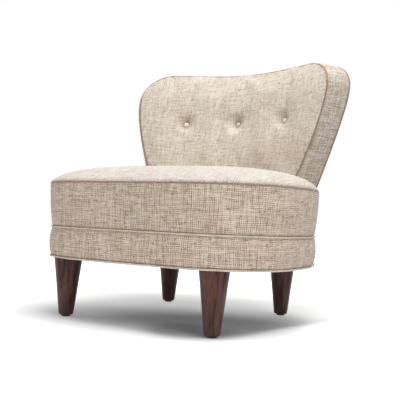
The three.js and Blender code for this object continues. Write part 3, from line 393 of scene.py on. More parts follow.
def pleat_dip(u, z):
    """The soft pulls that run from each tuft up to the top edge, and fainter ones below it."""
    up = (z - TUFT_Z) / (BACK_EAR_Z - TUFT_Z)
    dip = 0.0
    for across, _ in from_tufts(u, z):
        if up >= 0:
            for lean, depth in PLEATS_ABOVE:
                off = (across - lean * TUFT_SPACING * up) / (PLEAT_WIDTH * (0.7 + up))
                dip += depth * PLEAT_DEPTH * math.exp(-off * off) * max(0.0, 1 - up) ** 0.6
        else:
            for lean in PLEATS_BELOW:
                off = (across + lean * TUFT_SPACING * up * 1.4) / (PLEAT_WIDTH * (0.7 - up))
                dip += 0.35 * PLEAT_DEPTH * math.exp(-off * off) * math.exp(up * 3.0)
    return dip


def back_swell(u, z, out):
    """How far the padding stands in front of the arc; it is fuller away from the tufts."""
    crown = BACK_CROWN * (1 - out**4)
    dip = tuft_dip(u, z)
    away = (1 - dip / TUFT_DEPTH) ** 0.7
    fullness = (BACK_FULLNESS + tuft_ring(u, z)) * (1 - out**3) * away
    return crown + fullness - (dip + pleat_dip(u, z) * away) * (1 - out * out)


# Making pieces


def clear_selection():
    bpy.ops.object.select_all(action="DESELECT")


def activate(piece):
    clear_selection()
    piece.select_set(True)
    bpy.context.view_layer.objects.active = piece


def edit_all(piece):
    """Goes into edit mode with everything selected."""
    activate(piece)
    bpy.ops.object.mode_set(mode="EDIT")
    bpy.ops.mesh.select_all(action="SELECT")


def leave_edit():
    bpy.ops.object.mode_set(mode="OBJECT")


def select_faces(piece, chosen):
    """Goes into edit mode with only the faces selected for which chosen(face) is true."""
    activate(piece)
    bpy.ops.object.mode_set(mode="EDIT")
    bpy.ops.mesh.select_mode(type="FACE")
    bpy.ops.mesh.select_all(action="DESELECT")
    leave_edit()
    for polygon in piece.data.polygons:
        polygon.select = chosen(polygon)
    bpy.ops.object.mode_set(mode="EDIT")


def apply_modifiers(piece):
    activate(piece)
    for modifier in list(piece.modifiers):
        bpy.ops.object.modifier_apply(modifier=modifier.name)


def shaped_grid(name, columns, rows, place, seam=None, closed=False):
    """A grid whose points go where place(a, b) says, with the cloth coordinates that it gives;
    seam(a, b) gives a point's painted shade, from 0 to 1, kept in its seam attribute. A closed grid's
    ends are joined."""
    clear_selection()
    bpy.ops.mesh.primitive_grid_add(x_subdivisions=columns, y_subdivisions=rows, size=1)
    piece = bpy.context.object
    piece.name = name
    mesh = piece.data
    mesh.name = name
    weave = []
    seams = []
    for vertex in mesh.vertices:
        a = vertex.co.x + 0.5
        b = vertex.co.y + 0.5
        vertex.co, cloth_place = place(a, b)
        weave.append(cloth_place)
        seams.append(seam(a, b) if seam else 0.0)
    mesh.attributes.new("seam", "FLOAT", "POINT").data.foreach_set("value", seams)
    layer = mesh.uv_layers.active
    for loop in mesh.loops:
        layer.data[loop.index].uv = weave[loop.vertex_index]
    if closed:
        edit_all(piece)
        bpy.ops.mesh.remove_doubles(threshold=0.01 * MM)
        bpy.ops.mesh.normals_make_consistent(inside=False)
        leave_edit()
    return piece


def face_toward(piece, direction):
    """Turns an open sheet over if its middle faces away from the given side."""
    middle = piece.data.polygons[len(piece.data.polygons) // 2]
    if middle.normal.dot(direction) < 0:
        edit_all(piece)
        bpy.ops.mesh.flip_normals()
        leave_edit()


def boundary_points(piece):
    count = {}
    for polygon in piece.data.polygons:
        for key in polygon.edge_keys:
            count[key] = count.get(key, 0) + 1
    return {index for key, times in count.items() if times == 1 for index in key}


def near_seam(distance, reach=SEAM_TUCK_REACH):
    """1 at a seam, fading with the distance from it."""
    return math.exp(-max(distance, 0.0) / reach)


def sheet_seam_painted_shade(row_power):
    """Painted shade near a sheet's edge, for a grid whose rows are spaced by that power."""

    def seam(a, b):
        square = max(abs(2 * a - 1), abs(2 * b - 1))
        distance = (1 - square) ** row_power * SHEET_HALF_DEPTH
        return SHEET_SEAM_PAINTED_SHADE * near_seam(distance, SEAM_PAINTED_SHADE_REACH)

    return seam


def closing(share):
    """A share of a closed outline that comes out the same at both ends of a grid."""
    return round(share % 1.0, 9)


def settle_as_cloth(piece, held, pressure, spare, cap):
    """The sheet settles as cloth over its filling, sewn down where held(index, point) is true,
    and no point moves further than the cap."""
    start = [v.co.copy() for v in piece.data.vertices]
    group = piece.vertex_groups.new(name="sewn")
    group.add([i for i, co in enumerate(start) if held(i, co)], 1.0, "REPLACE")
    cloth = piece.modifiers.new("Cloth", "CLOTH")
    settings = {
        "quality": 6, "mass": 0.3, "tension_stiffness": 40, "compression_stiffness": 40,
        "bending_stiffness": 1.5, "vertex_group_mass": group.name, "shrink_min": -spare,
        "use_pressure": True, "uniform_pressure_force": pressure,
    }
    for name, value in settings.items():
        setattr(cloth.settings, name, value)
    cloth.settings.effector_weights.gravity = 0
    cloth.point_cache.frame_start = 1
    cloth.point_cache.frame_end = SETTLE_FRAMES
    scene = bpy.context.scene
    for step in range(1, SETTLE_FRAMES + 1):
        scene.frame_set(step)
    settled = piece.evaluated_get(bpy.context.evaluated_depsgraph_get()).data
    moved = [settled.vertices[i].co - co for i, co in enumerate(start)]
    piece.modifiers.remove(cloth)
    scene.frame_set(1)
    for vertex, co, move in zip(piece.data.vertices, start, moved):
        if move.length > cap:
            move = move.normalized() * cap
        vertex.co = co + move
    piece.vertex_groups.remove(group)


def thicken(piece, thickness, offset):
    solidify = piece.modifiers.new("Cloth thickness", "SOLIDIFY")
    solidify.thickness = thickness
    solidify.offset = offset
    apply_modifiers(piece)
    bpy.ops.object.shade_smooth()


def finish_cloth(piece, material, node):
    """Padded cloth gets its thickness inward and its finish, and its CAD node is hidden."""
    subdivision = piece.modifiers.new("Smooth", "SUBSURF")
    subdivision.levels = 1
    subdivision.render_levels = 1
    thicken(piece, CLOTH, -1)
    dress(piece, material)
    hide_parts(node)


def dress(piece, material):
    piece.data.materials.clear()
    piece.data.materials.append(material)
    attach(piece, "root")


# Materials


def feed(tree, node, inputs):
    """Links or sets each of a node's inputs, given by name or number."""
    for name, value in inputs.items():
        if isinstance(value, bpy.types.NodeSocket):
            tree.links.new(value, node.inputs[name])
        else:
            node.inputs[name].default_value = value


def add_node(tree, kind, inputs=None, **settings):
    node = tree.nodes.new(kind)
    for name, value in settings.items():
        setattr(node, name, value)
    feed(tree, node, inputs or {})
    return node


def calculate(tree, operation, *values, clamp=False):
    inputs = dict(enumerate(values))
    return add_node(tree, "ShaderNodeMath", inputs, operation=operation, use_clamp=clamp).outputs[0]


def mix_colors(tree, factor, a, b, blend="MIX"):
    inputs = {0: factor, 6: a, 7: b}
    node = add_node(tree, "ShaderNodeMix", inputs, data_type="RGBA", blend_type=blend)
    return node.outputs[2]


def mix_numbers(tree, factor, a, b):
    return add_node(tree, "ShaderNodeMix", {0: factor, 2: a, 3: b}, data_type="FLOAT").outputs[0]


def noise_at(tree, place, scale, detail, distortion=0.0):
    inputs = {"Vector": place, "Scale": scale, "Detail": detail, "Distortion": distortion}
    return add_node(tree, "ShaderNodeTexNoise", inputs).outputs[0]


def noise_value(tree, x, y, z, scale=1.0, detail=2.0):
    """Noise read at a place made of three numbers."""
    place = add_node(tree, "ShaderNodeCombineXYZ", {"X": x, "Y": y, "Z": z}).outputs[0]
    return noise_at(tree, place, scale, detail)


def bump_normal(tree, height, strength, distance):
    inputs = {"Strength": strength, "Distance": distance, "Height": height}
    return add_node(tree, "ShaderNodeBump", inputs).outputs[0]


def ramp(tree, value, low, high):
    inputs = {"Value": value, "From Min": low, "From Max": high}
    return add_node(tree, "ShaderNodeMapRange", inputs, clamp=True).outputs[0]


def linear(red, green, blue):
    """A colour as it looks on screen, 0 to 255, as the shader's own numbers."""

    def share(level):
        c = level / 255
        return c / 12.92 if c <= 0.04045 else ((c + 0.055) / 1.055) ** 2.4

    return share(red), share(green), share(blue), 1.0


def build_slub_weave():
    """Plain weave of uneven spun threads: pale and dark yarn, thick slubs and brown flecks."""
    group = bpy.data.node_groups.new("Slub weave", "ShaderNodeTree")
    sockets = (
        ("INPUT", "NodeSocketVector", ("Vector",)),
        ("INPUT", "NodeSocketColor", ("Pale", "Middle", "Dark", "Fleck")),
        ("INPUT", "NodeSocketFloat", ("Pitch", "Contrast")),
        ("OUTPUT", "NodeSocketColor", ("Color",)),
        ("OUTPUT", "NodeSocketFloat", ("Height",)),
    )
    for side, kind, labels in sockets:
        for label in labels:
            group.interface.new_socket(label, in_out=side, socket_type=kind)
    given = group.nodes.new("NodeGroupInput").outputs
    result = group.nodes.new("NodeGroupOutput")
    calc = partial(calculate, group)
    times = partial(calc, "MULTIPLY")
    noisy = partial(noise_value, group)
    rise = partial(ramp, group)
    apart = add_node(group, "ShaderNodeSeparateXYZ", {"Vector": given["Vector"]}).outputs
    x = calc("DIVIDE", apart["X"], given["Pitch"])
    y = calc("DIVIDE", apart["Y"], given["Pitch"])
    wander = noisy(x, y, 3.1, scale=0.05, detail=1.0)
    wander = calc("MULTIPLY_ADD", wander, 2.4, -1.2)
    x = calc("ADD", x, wander)
    y = calc("SUBTRACT", y, wander)
    warp = calc("FLOOR", x)
    weft = calc("FLOOR", y)

    def thread(across, along, own, side, seed):
        """How high one thread stands, its tone along its length, and its brown flecks."""
        middle = calc("SUBTRACT", calc("FRACT", across), 0.5)
        round_top = calc("COSINE", times(middle, math.pi))
        phase = times(calc("ADD", along, own), math.pi)
        over = calc("MULTIPLY_ADD", calc("COSINE", phase), side, 0.5)
        row = times(own, 3.73)
        slow = times(along, 0.07)
        quick = times(along, 0.22)
        tone = rise(noisy(row, slow, seed, detail=1.0), 0.3, 0.7)
        fleck = noisy(row, quick, seed + 20.0, detail=1.0)
        slub = noisy(row, slow, seed + 9.0, scale=0.6)
        height = times(round_top, over)
        height = calc("MULTIPLY_ADD", slub, 0.5, height)
        return height, tone, fleck

    def yarn(across, up, seed):
        """Uneven yarn: a mask from 0 to 1 whose marks are stretched along one thread."""
        place = (times(x, across), times(y, up))
        return rise(noisy(*place, seed), 0.3, 0.7)

    def pairs(across, seed):
        """Every second thread is darker, more in some places than in others."""
        wave = calc("SINE", times(across, math.pi))
        patch = rise(noisy(x, y, seed, scale=0.06, detail=1.0), 0.35, 0.6)
        return calc("MULTIPLY_ADD", times(wave, patch), 0.5, 0.5)

    warp_height, warp_tone, warp_fleck = thread(x, y, warp, 0.5, 1.7)
    weft_height, weft_tone, weft_fleck = thread(y, x, weft, -0.5, 5.3)
    on_top = rise(calc("SUBTRACT", warp_height, weft_height), -0.15, 0.15)
    height = calc("MAXIMUM", warp_height, weft_height)
    thread_tone = mix_numbers(group, on_top, weft_tone, warp_tone)
    fleck = mix_numbers(group, on_top, weft_fleck, warp_fleck)
    tones = (
        (thread_tone, 0.66),
        (yarn(0.42, 0.014, 2.2), 0.12),
        (yarn(0.018, 0.42, 7.9), 0.08),
        (yarn(1.1, 0.04, 11.0), 0.14),
        (yarn(0.04, 1.1, 15.0), 0.1),
        (yarn(0.9, 0.9, 18.0), 0.34),
        (on_top, 0.12),
        (pairs(x, 31.0), 0.5),
        (pairs(y, 37.0), 0.4),
        (noisy(x, y, 4.4, scale=0.016, detail=3.0), 0.1),
    )
    tone = calc("ADD", 0.0, -0.5 * sum(weight for value, weight in tones))
    for value, weight in tones:
        tone = calc("MULTIPLY_ADD", value, weight, tone)
    tone = calc("MULTIPLY_ADD", tone, given["Contrast"], 0.5)
    pale = rise(tone, 0.5, 0.85)
    dark = rise(tone, 0.5, 0.15)
    color = mix_colors(group, pale, given["Middle"], given["Pale"])
    color = mix_colors(group, dark, color, given["Dark"])
    color = mix_colors(group, rise(fleck, 0.64, 0.74), color, given["Fleck"])
    # Painted shade: where the threads stand lower, the colour is darker.
    shade = calc("MULTIPLY_ADD", height, 0.34, 0.62, clamp=True)
    shaded = add_node(group, "ShaderNodeCombineColor", {0: shade, 1: shade, 2: shade}).outputs[0]
    color = mix_colors(group, 0.8, color, shaded, "MULTIPLY")
    feed(group, result, {"Color": color, "Height": height})
    return group


slub_weave = build_slub_weave()
# The dark brown that painted shade mixes toward: in seam grooves, round the buttons, in the pockets
# above them and low on the inside back.
painted_shade_color = linear(120, 78, 38)


def new_material(name):
    material = bpy.data.materials.new(name)
    material.use_nodes = True
    tree = material.node_tree
    return material, tree, tree.nodes["Principled BSDF"]


def linen(name, pale, middle, dark, fleck, contrast=1.0, turn=0.0, pitch=THREAD_PITCH):
    """Woven linen read in the piece's own cloth coordinates, in metres."""
    material, tree, shader = new_material(name)
    place = add_node(tree, "ShaderNodeTexCoord").outputs["UV"]
    if turn:
        turned = {"Vector": place, "Rotation": (0, 0, turn)}
        place = add_node(tree, "ShaderNodeMapping", turned).outputs[0]
    weave = add_node(tree, "ShaderNodeGroup", node_tree=slub_weave)
    feed(tree, weave, {
        "Vector": place, "Pale": linear(*pale), "Middle": linear(*middle),
        "Dark": linear(*dark), "Fleck": linear(*fleck), "Pitch": pitch, "Contrast": contrast,
    })
    # The seam attribute holds painted shade, which darkens the weave toward that brown.
    seam = add_node(tree, "ShaderNodeAttribute", attribute_name="seam").outputs["Fac"]
    seam = calculate(tree, "MULTIPLY", seam, 0.8, clamp=True)
    feed(tree, shader, {
        "Base Color": mix_colors(tree, seam, weave.outputs["Color"], painted_shade_color),
        "Normal": bump_normal(tree, weave.outputs["Height"], 0.55, 0.35 * MM),
        "Roughness": 0.9, "Specular IOR Level": 0.25,
        "Sheen Weight": 0.15, "Sheen Roughness": 0.6,
    })
    return material


def grained_wood(name, light, dark, streak, roughness, shine=0.5):
    """Wood whose grain runs along z, with darker pores and a warm streak here and there."""
    material, tree, shader = new_material(name)
    place = add_node(tree, "ShaderNodeTexCoord").outputs["Object"]
    along_grain = {"Vector": place, "Scale": (1, 1, 1 / GRAIN_STRETCH)}
    place = add_node(tree, "ShaderNodeMapping", along_grain).outputs[0]
    dark = linear(*dark)
    broad = noise_at(tree, place, 75.0, 3.0, 0.4)
    fine = noise_at(tree, place, 420.0, 3.0)
    warm = noise_at(tree, place, 130.0, 2.0, 0.6)
    color = mix_colors(tree, ramp(tree, broad, 0.35, 0.68), dark, linear(*light))
    color = mix_colors(tree, ramp(tree, warm, 0.5, 0.72), color, linear(*streak))
    pores = ramp(tree, fine, 0.56, 0.7)
    feed(tree, shader, {
        "Base Color": mix_colors(tree, calculate(tree, "MULTIPLY", pores, 0.6), color, dark),
        "Roughness": calculate(tree, "MULTIPLY_ADD", fine, 0.14, roughness - 0.07),
        "Normal": bump_normal(tree, fine, 0.25, 0.2 * MM),
        "Specular IOR Level": shine,
    })
    return material


def plain_finish(name, color, other, scale, roughness, metallic=0.0, depth=0.1 * MM):
    """A finish of one colour that clouds toward another, with a fine uneven surface."""
    material, tree, shader = new_material(name)
    place = add_node(tree, "ShaderNodeTexCoord").outputs["Object"]
    cloud = noise_at(tree, place, scale, 4.0)
    clouds = ramp(tree, cloud, 0.3, 0.7)
    feed(tree, shader, {
        "Base Color": mix_colors(tree, clouds, linear(*color), linear(*other)),
        "Roughness": calculate(tree, "MULTIPLY_ADD", cloud, 0.2, roughness - 0.1, clamp=True),
        "Normal": bump_normal(tree, cloud, 0.4, depth),
        "Metallic": metallic,
    })
    return material


# One linen covers the chair; its copies are painted lighter or darker for how the light falls. The
# seat top's is painted paler, a painted light from above.
seat_linen_painted_light = linen(
    "Seat linen painted lighter", (241, 238, 232), (229, 221, 210), (195, 177, 157),
    (152, 118, 92), contrast=0.85,
)
# The bands' copy is painted browner and with more contrast, a painted shade.
band_linen_painted_shade = linen(
    "Band linen painted in shade", (251, 239, 223), (230, 211, 191), (183, 149, 122),
    (118, 72, 46), contrast=1.35,
)
# The back edge's copy is painted darker and greyer, a painted shade on the boxing's side, with paler
# light threads for its lit top.
edge_linen_painted_shade = linen(
    "Back edge linen painted in shade", (237, 232, 226), (209, 195, 177), (160, 135, 108),
    (112, 76, 46), contrast=1.05,
)
back_linen = linen(
    "Back linen", (238, 233, 223), (221, 210, 195), (178, 154, 127),
    (128, 92, 64), contrast=0.8,
)
# The buttons' copy is painted paler, a painted light.
button_linen_painted_light = linen(
    "Button linen painted lighter", (255, 252, 246), (248, 241, 230), (224, 208, 190),
    (190, 165, 140), contrast=0.6,
)
# The piping's copy is painted paler, a painted light.
cord_linen_painted_light = linen(
    "Piping linen painted lighter", (255, 246, 232), (246, 232, 214), (206, 182, 158),
    (134, 104, 80), turn=math.radians(45), pitch=CORD_THREAD_PITCH,
)
leg_wood = grained_wood(
    "Dark stained wood", (106, 76, 68), (50, 31, 26), (106, 61, 50), 0.42, shine=0.2
)
frame_wood = grained_wood(
    "Sawn frame wood", (206, 172, 126), (168, 128, 84), (186, 146, 98), 0.75
)
felt = plain_finish("Grey felt", (150, 147, 140), (118, 115, 110), 900, 0.95, depth=0.4 * MM)
foam = plain_finish("Foam", (238, 226, 184), (226, 208, 158), 1400, 0.95, depth=0.3 * MM)
steel = plain_finish("Zinc plated steel", (182, 182, 180), (150, 150, 150), 260, 0.4, 1.0)
nylon = plain_finish("Black nylon", (28, 27, 26), (20, 19, 19), 300, 0.5)
twine_finish = plain_finish("Waxed twine", (186, 168, 134), (150, 130, 98), 1200, 0.8)
dust_cloth = plain_finish(
    "Black dust cloth", (34, 33, 32), (22, 21, 21), 1600, 0.95, depth=0.2 * MM
)


def dress_frame_nodes():
    finishes = {
        "rail": frame_wood, "corner_block": frame_wood, "back_post": frame_wood,
        "seat_spring": steel, "hanger_bolt": steel, "tee_nut": steel, "back_bolt": steel,
        "foam": foam, "insulator": felt, "padding": felt, "edge_roll": felt,
        "twine": twine_finish, "glide": nylon, "leg_": leg_wood, "dust_cover": dust_cloth,
    }
    for name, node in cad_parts.items():
        for word, material in finishes.items():
            if word in name:
                node.data.materials.clear()
                node.data.materials.append(material)
                break


# Seat


def seat_puckers(share, down, seed):
    """The small pulls that stitching leaves beside a seam, a distance down from it."""
    along = share * seat_plan.total
    wave = ripple(along, 0, 11 * MM, seed) + 0.6 * ripple(along, 0, 27 * MM, seed + 3)
    return PUCKER_DEPTH * wave * math.exp(-down / PUCKER_REACH)


def build_seat_top():
    rim = TOP_WELT_FLARE + SHEET_RIM

    def place(a, b):
        square, share = across_outline(a, b, SEAT_CORNERS)
        out = 1 - (1 - square) ** SEAT_ROW_POWER
        edge = seat_plan.at(share, rim)
        x = edge.x * out
        y = lerp(SEAT_CROWN_CENTRE_Y, edge.y, out)
        z = seat_top_z(y, out) + CLOTH_CLEARANCE
        z += 0.7 * MM * ripple(x, y, 75 * MM, 2.0) * (1 - out**8)
        z += seat_puckers(share, (1 - out) * SHEET_HALF_DEPTH, 5.0)
        return Vector((x, y + front_y, z)), (x, y)

    # The seat top's edge is painted darker, a painted shade beside its seam.
    piece = shaped_grid("seat_top_linen", 104, 92, place, sheet_seam_painted_shade(SEAT_ROW_POWER))
    face_toward(piece, Vector((0, 0, 1)))
    edge = boundary_points(piece)
    settle_as_cloth(piece, lambda i, co: i in edge, pressure=0.6, spare=0.002, cap=2 * MM)
    finish_cloth(piece, seat_linen_painted_light, "seat_top_cover")


def band_profile(b, bottom_z, top_z, fullness, flare, top_tuck, tuck=SEAM_TUCK):
    """Offset and height of a band's face; its edges tuck in behind the piping."""
    height = top_z - bottom_z
    tuck = tuck * near_seam(b * height) + top_tuck * near_seam((1 - b) * height)
    return flare * b + 4 * fullness * b * (1 - b) - tuck, lerp(bottom_z, top_z, b)


def band_seam_painted_shade(height, lower=1.0, upper=0.45):
    """Painted shade beside a band's two seams, fading away from them; the lower seam is painted
    darker.
    """

    def seam(a, b):
        b = spread(b)
        low = near_seam(b * height, SEAM_PAINTED_SHADE_REACH)
        return lower * low + upper * near_seam((1 - b) * height, SEAM_PAINTED_SHADE_REACH)

    return seam


def spread(b):
    """Rows of a band, closer together beside its two seams."""
    return b - math.sin(2 * math.pi * b) / (2 * math.pi) * BAND_ROW_CROWDING


def build_seat_band(name, node, bottom_z, top_z, fullness, flare, rise, seed, rows, top_tuck):
    """A band of the seat's side, between two heights, that leans out by its flare at the top."""
    height = top_z - bottom_z

    def place(a, b):
        b = spread(b)
        offset, z = band_profile(b, bottom_z, top_z, fullness, flare, top_tuck)
        along = a * seat_plan.total
        slack = math.sin(math.pi * b)
        offset += slack * 0.5 * MM * ripple(along, z, 60 * MM, seed)
        offset += slack * 0.35 * MM * ripple(along, z * 0.35, 22 * MM, seed + 1)
        offset += seat_puckers(a, b * height, seed + 2) + seat_puckers(a, (1 - b) * height, seed + 6)
        point = seat_point(a, offset, z)
        point.z += rise * TOP_WELT_RISE * (point.y - front_y) * b
        return point, (along, z)

    # Painted shade beside the band's two seams, darker at the lower one.
    piece = shaped_grid(name, 390, rows, place, band_seam_painted_shade(height), closed=True)
    finish_cloth(piece, band_linen_painted_shade, node)


def build_seat_bands():
    gap = CORD_RADIUS - 0.4 * MM
    build_seat_band(
        "seat_boxing_linen", "seat_boxing_band", MIDDLE_WELT_Z + gap, TOP_WELT_Z - CLOTH_CLEARANCE,
        BOXING_FULLNESS, TOP_WELT_FLARE + 0.6 * MM, 1, 21.0, 22, SHALLOW_TUCK,
    )
    build_seat_band(
        "base_band_linen", "base_band", BASE_WELT_Z + gap, MIDDLE_WELT_Z - gap,
        BASE_FULLNESS, 0, 0, 41.0, 18, 0.9 * MM,
    )


def build_piping(name, node, centre, length, wave, seed, shade, columns=400):
    """A covered cord: centre(share) gives its middle, and two directions across it; shade is the
    cord's painted shade, the same all along it.
    """
    sides = 12

    def place(a, b):
        middle, out, up = centre(a)
        angle = 2 * math.pi * b
        along = a * length
        sway = wave * ripple(along, 0, 40 * MM, seed)
        lift = wave * ripple(along, 0, 31 * MM, seed + 4)
        radius = CORD_RADIUS * (1 + 0.06 * ripple(along, 0, 9 * MM, seed + 8))
        middle = middle + out * sway + up * lift
        point = middle + out * (radius * math.cos(angle)) + up * (radius * math.sin(angle))
        return point, (along, b * 2 * math.pi * CORD_RADIUS)

    piece = shaped_grid(
        name, columns, sides, place, seam=lambda a, b: shade, closed=True
    )
    activate(piece)
    bpy.ops.object.shade_smooth()
    dress(piece, cord_linen_painted_light)
    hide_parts(node)


def seat_cord_centre(flare, z, rise):
    def centre(share):
        share = closing(share)
        middle = seat_point(share, flare, z)
        middle.z += rise * TOP_WELT_RISE * (middle.y - front_y)
        out = (seat_point(share, flare + 1 * MM, 0) - seat_point(share, flare, 0)).normalized()
        return middle, out, Vector((0, 0, 1))

    return centre


def build_seat_piping():
    # The last number in each row is the cord's painted shade: the sunk top cord is painted dark, a
    # line of shade in its groove.
    cords = (
        ("seat_top", TOP_WELT_FLARE - SUNK_CORD_INSET, TOP_WELT_Z, 1, 0.3 * MM, 3.0, 0.8),
        ("seat_middle", CORD_OUTSET, MIDDLE_WELT_Z, 0, 0.9 * MM, 13.0, 0.0),
        ("base", CORD_OUTSET, BASE_WELT_Z, 0, 0.8 * MM, 23.0, 0.0),
    )
    for word, flare, z, rise, wave, seed, shade in cords:
        centre = seat_cord_centre(flare, z, rise)
        build_piping(
            f"{word}_piping", f"{word}_welt", centre, seat_plan.total, wave, seed, shade
        )


def leg_middle(place):
    low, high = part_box(f"leg_{place}")
    return (low[0] + high[0]) / 2, (low[1] + high[1]) / 2


def cut_bolt_holes(piece):
    """Each leg's bolt passes through the cloth, above the leg's top."""
    bolts = [Vector(leg_middle(place)) for place in LEG_PLACES]

    def near_bolt(face):
        return any((face.center.xy - bolt).length < BOLT_HOLE_RADIUS for bolt in bolts)

    select_faces(piece, near_bolt)
    bpy.ops.mesh.delete(type="FACE")
    leave_edit()


def build_dust_cover():
    def place(a, b):
        square, share = across_outline(a, b, SEAT_CORNERS)
        edge = seat_plan.at(share, -DUST_COVER_INSET)
        x = edge.x * square
        y = lerp(SEAT_CROWN_CENTRE_Y, edge.y, square)
        free = max(0.0, 1 - (square / 0.75) ** 2)
        z = DUST_COVER_Z - free * (DUST_COVER_SAG + 0.6 * MM * ripple(x, y, 90 * MM, 61.0))
        return Vector((x, y + front_y, z)), (x, y)

    piece = shaped_grid("dust_cover_cloth", 88, 76, place)
    face_toward(piece, Vector((0, 0, -1)))
    cut_bolt_holes(piece)
    thicken(piece, DUST_CLOTH, 0)
    dress(piece, dust_cloth)
    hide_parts("dust_cover")


# Back


def back_sheet_place(a, b):
    """A point of the back's sheets: along the arc, its height, and its shares out and round."""
    square, share = across_outline(a, b, BACK_CORNERS)
    out = 1 - (1 - square) ** BACK_ROW_POWER
    edge = back_outline.at(share, SHEET_RIM)
    return edge.x * out, lerp(TUFT_Z, edge.y, out), out, share


def tuft_painted_shade(u, z):
    """Painted shade in the gathers round a button and in the pocket above it."""
    shade = 0.0
    for across, up in from_tufts(u, z):
        shade += 0.75 * near_seam(math.hypot(across, up) - BUTTON_RADIUS, 3 * MM)
        if 0 < up < TUFT_REACH:
            width = 7 * MM + 0.3 * up
            off = (across - 0.3 * up) / width
            shade += 0.6 * math.exp(-off * off) * (1 - up / TUFT_REACH)
    return min(shade, 1.0)


def build_inside_back():
    edge_painted_shade = sheet_seam_painted_shade(BACK_ROW_POWER)

    def place(a, b):
        u, z, out, share = back_sheet_place(a, b)
        radius = BACK_FRONT_RADIUS - CLOTH_CLEARANCE - back_swell(u, z, out)
        radius -= 0.5 * MM * ripple(u, z, 60 * MM, 8.0) * (1 - out**6)
        pull = ripple(share * back_outline.total, 0, 12 * MM, 31.0)
        radius -= PUCKER_DEPTH * pull * math.exp(-(1 - out) * SHEET_HALF_DEPTH / PUCKER_REACH)
        return back_point(u, z, radius), (u, z / math.cos(BACK_LEAN))

    def seam(a, b):
        """Painted shade at the edge and in the tufts, and a painted warm shade at the lower right,
        near the seat.
        """
        u, z, _, _ = back_sheet_place(a, b)
        right = min(max((u + 20 * MM) / (160 * MM), 0.0), 1.0)
        low = min(max((TUFT_Z - 40 * MM - z) / (80 * MM), 0.0), 1.0)
        return max(edge_painted_shade(a, b), tuft_painted_shade(u, z), WARM_CORNER_PAINTED_SHADE * right * low)

    piece = shaped_grid("inside_back_linen", 140, 84, place, seam)
    face_toward(piece, Vector((0, -1, 0)))
    edge = boundary_points(piece)
    buttons = [tuft_place(side)[0] for side in TUFT_SIDES]

    def sewn(index, co):
        return index in edge or any((co - seat).length < 7 * MM for seat in buttons)

    settle_as_cloth(piece, sewn, pressure=0.5, spare=0.004, cap=4 * MM)
    finish_cloth(piece, back_linen, "inside_back_cover")


def build_outside_back():
    def place(a, b):
        u, z, out, _ = back_sheet_place(a, b)
        wave = 0.8 * MM * ripple(u, z, 90 * MM, 12.0) * (1 - out**6)
        radius = back_rear_radius + CLOTH_CLEARANCE + wave
        return back_point(u, z, radius), (u, z / math.cos(BACK_LEAN))

    # The outside back's edge is painted darker, a painted shade beside its seams.
    piece = shaped_grid("outside_back_linen", 84, 52, place, sheet_seam_painted_shade(BACK_ROW_POWER))
    face_toward(piece, Vector((0, 1, 0)))
    finish_cloth(piece, back_linen, "outside_back_cover")


def build_back_boxing():
    start = BACK_FRONT_RADIUS + CLOTH_CLEARANCE
    end = back_rear_radius - CLOTH_CLEARANCE

    def place(a, b):
        b = spread(b)
        offset, radius = band_profile(
            b, start, end, BACK_BOXING_FULLNESS, 0, SHALLOW_TUCK, SHALLOW_TUCK
        )
        offset += 0.5 * MM
        along = a * back_outline.total
        offset += math.sin(math.pi * b) * 0.45 * MM * ripple(along, radius, 40 * MM, 51.0)
        p = back_outline.at(closing(a), offset)
        return back_point(p.x, p.y, radius), (along, radius)

    # Painted shade beside both of the boxing's seams.
    seam = band_seam_painted_shade(end - start, lower=0.7, upper=0.7)
    piece = shaped_grid("back_boxing_linen", 340, 16, place, seam, closed=True)
    finish_cloth(piece, edge_linen_painted_shade, "back_boxing_band")


def back_cord_centre(radius, inset):
    def centre(share):
        share = closing(share)
        p = back_outline.at(share, -inset)
        q = back_outline.at(share, 1 * MM)
        middle = back_point(p.x, p.y, radius)
        across = (back_point(q.x, q.y, radius) - middle).normalized()
        deep = (back_point(p.x, p.y, radius + 1 * MM) - middle).normalized()
        return middle, across, deep

    return centre


def build_back_piping():
    cords = (
        ("front", BACK_FRONT_RADIUS, SUNK_CORD_INSET, 33.0),
        ("rear", back_rear_radius, REAR_CORD_INSET, 43.0),
    )
    for word, radius, inset, seed in cords:
        # Both back cords are painted in full shade, 1.0, so each shows as a thin dark line.
        build_piping(
            f"back_{word}_piping", f"back_{word}_welt", back_cord_centre(radius, inset),
            back_outline.total, 0.2 * MM, seed, 1.0, columns=360,
        )


def tuft_place(side):
    """Where a button sits, and the way out of its tuft."""
    u = side * TUFT_SPACING
    out = abs(u) / side_half_width(TUFT_Z)
    radius = BACK_FRONT_RADIUS - back_swell(u, TUFT_Z, out)
    seat = back_point(u, TUFT_Z, radius)
    front = (back_point(u, TUFT_Z, radius - 1 * MM) - seat).normalized()
    return seat, front


def build_buttons():
    for side, word in zip(TUFT_SIDES, ("left", "middle", "right")):
        seat, front = tuft_place(side)
        clear_selection()
        bpy.ops.mesh.primitive_uv_sphere_add(segments=40, ring_count=20, radius=BUTTON_RADIUS)
        piece = bpy.context.object
        piece.name = f"tufting_button_linen_{word}"
        edit_all(piece)
        bpy.ops.transform.resize(value=(1, 1, 0.7))
        leave_edit()
        turn = Vector((0, 0, 1)).rotation_difference(front).to_matrix().to_4x4()
        place = Matrix.Translation(seat + front * (BUTTON_RADIUS * 0.55)) @ turn
        layer = piece.data.uv_layers.active
        for loop in piece.data.loops:
            co = piece.data.vertices[loop.vertex_index].co
            layer.data[loop.index].uv = (co.x * 1.2, co.y * 1.2)
        piece.data.transform(place)
        bpy.ops.object.shade_smooth()
        dress(piece, button_linen_painted_light)
        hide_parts(f"tufting_button_{word}")


# Legs


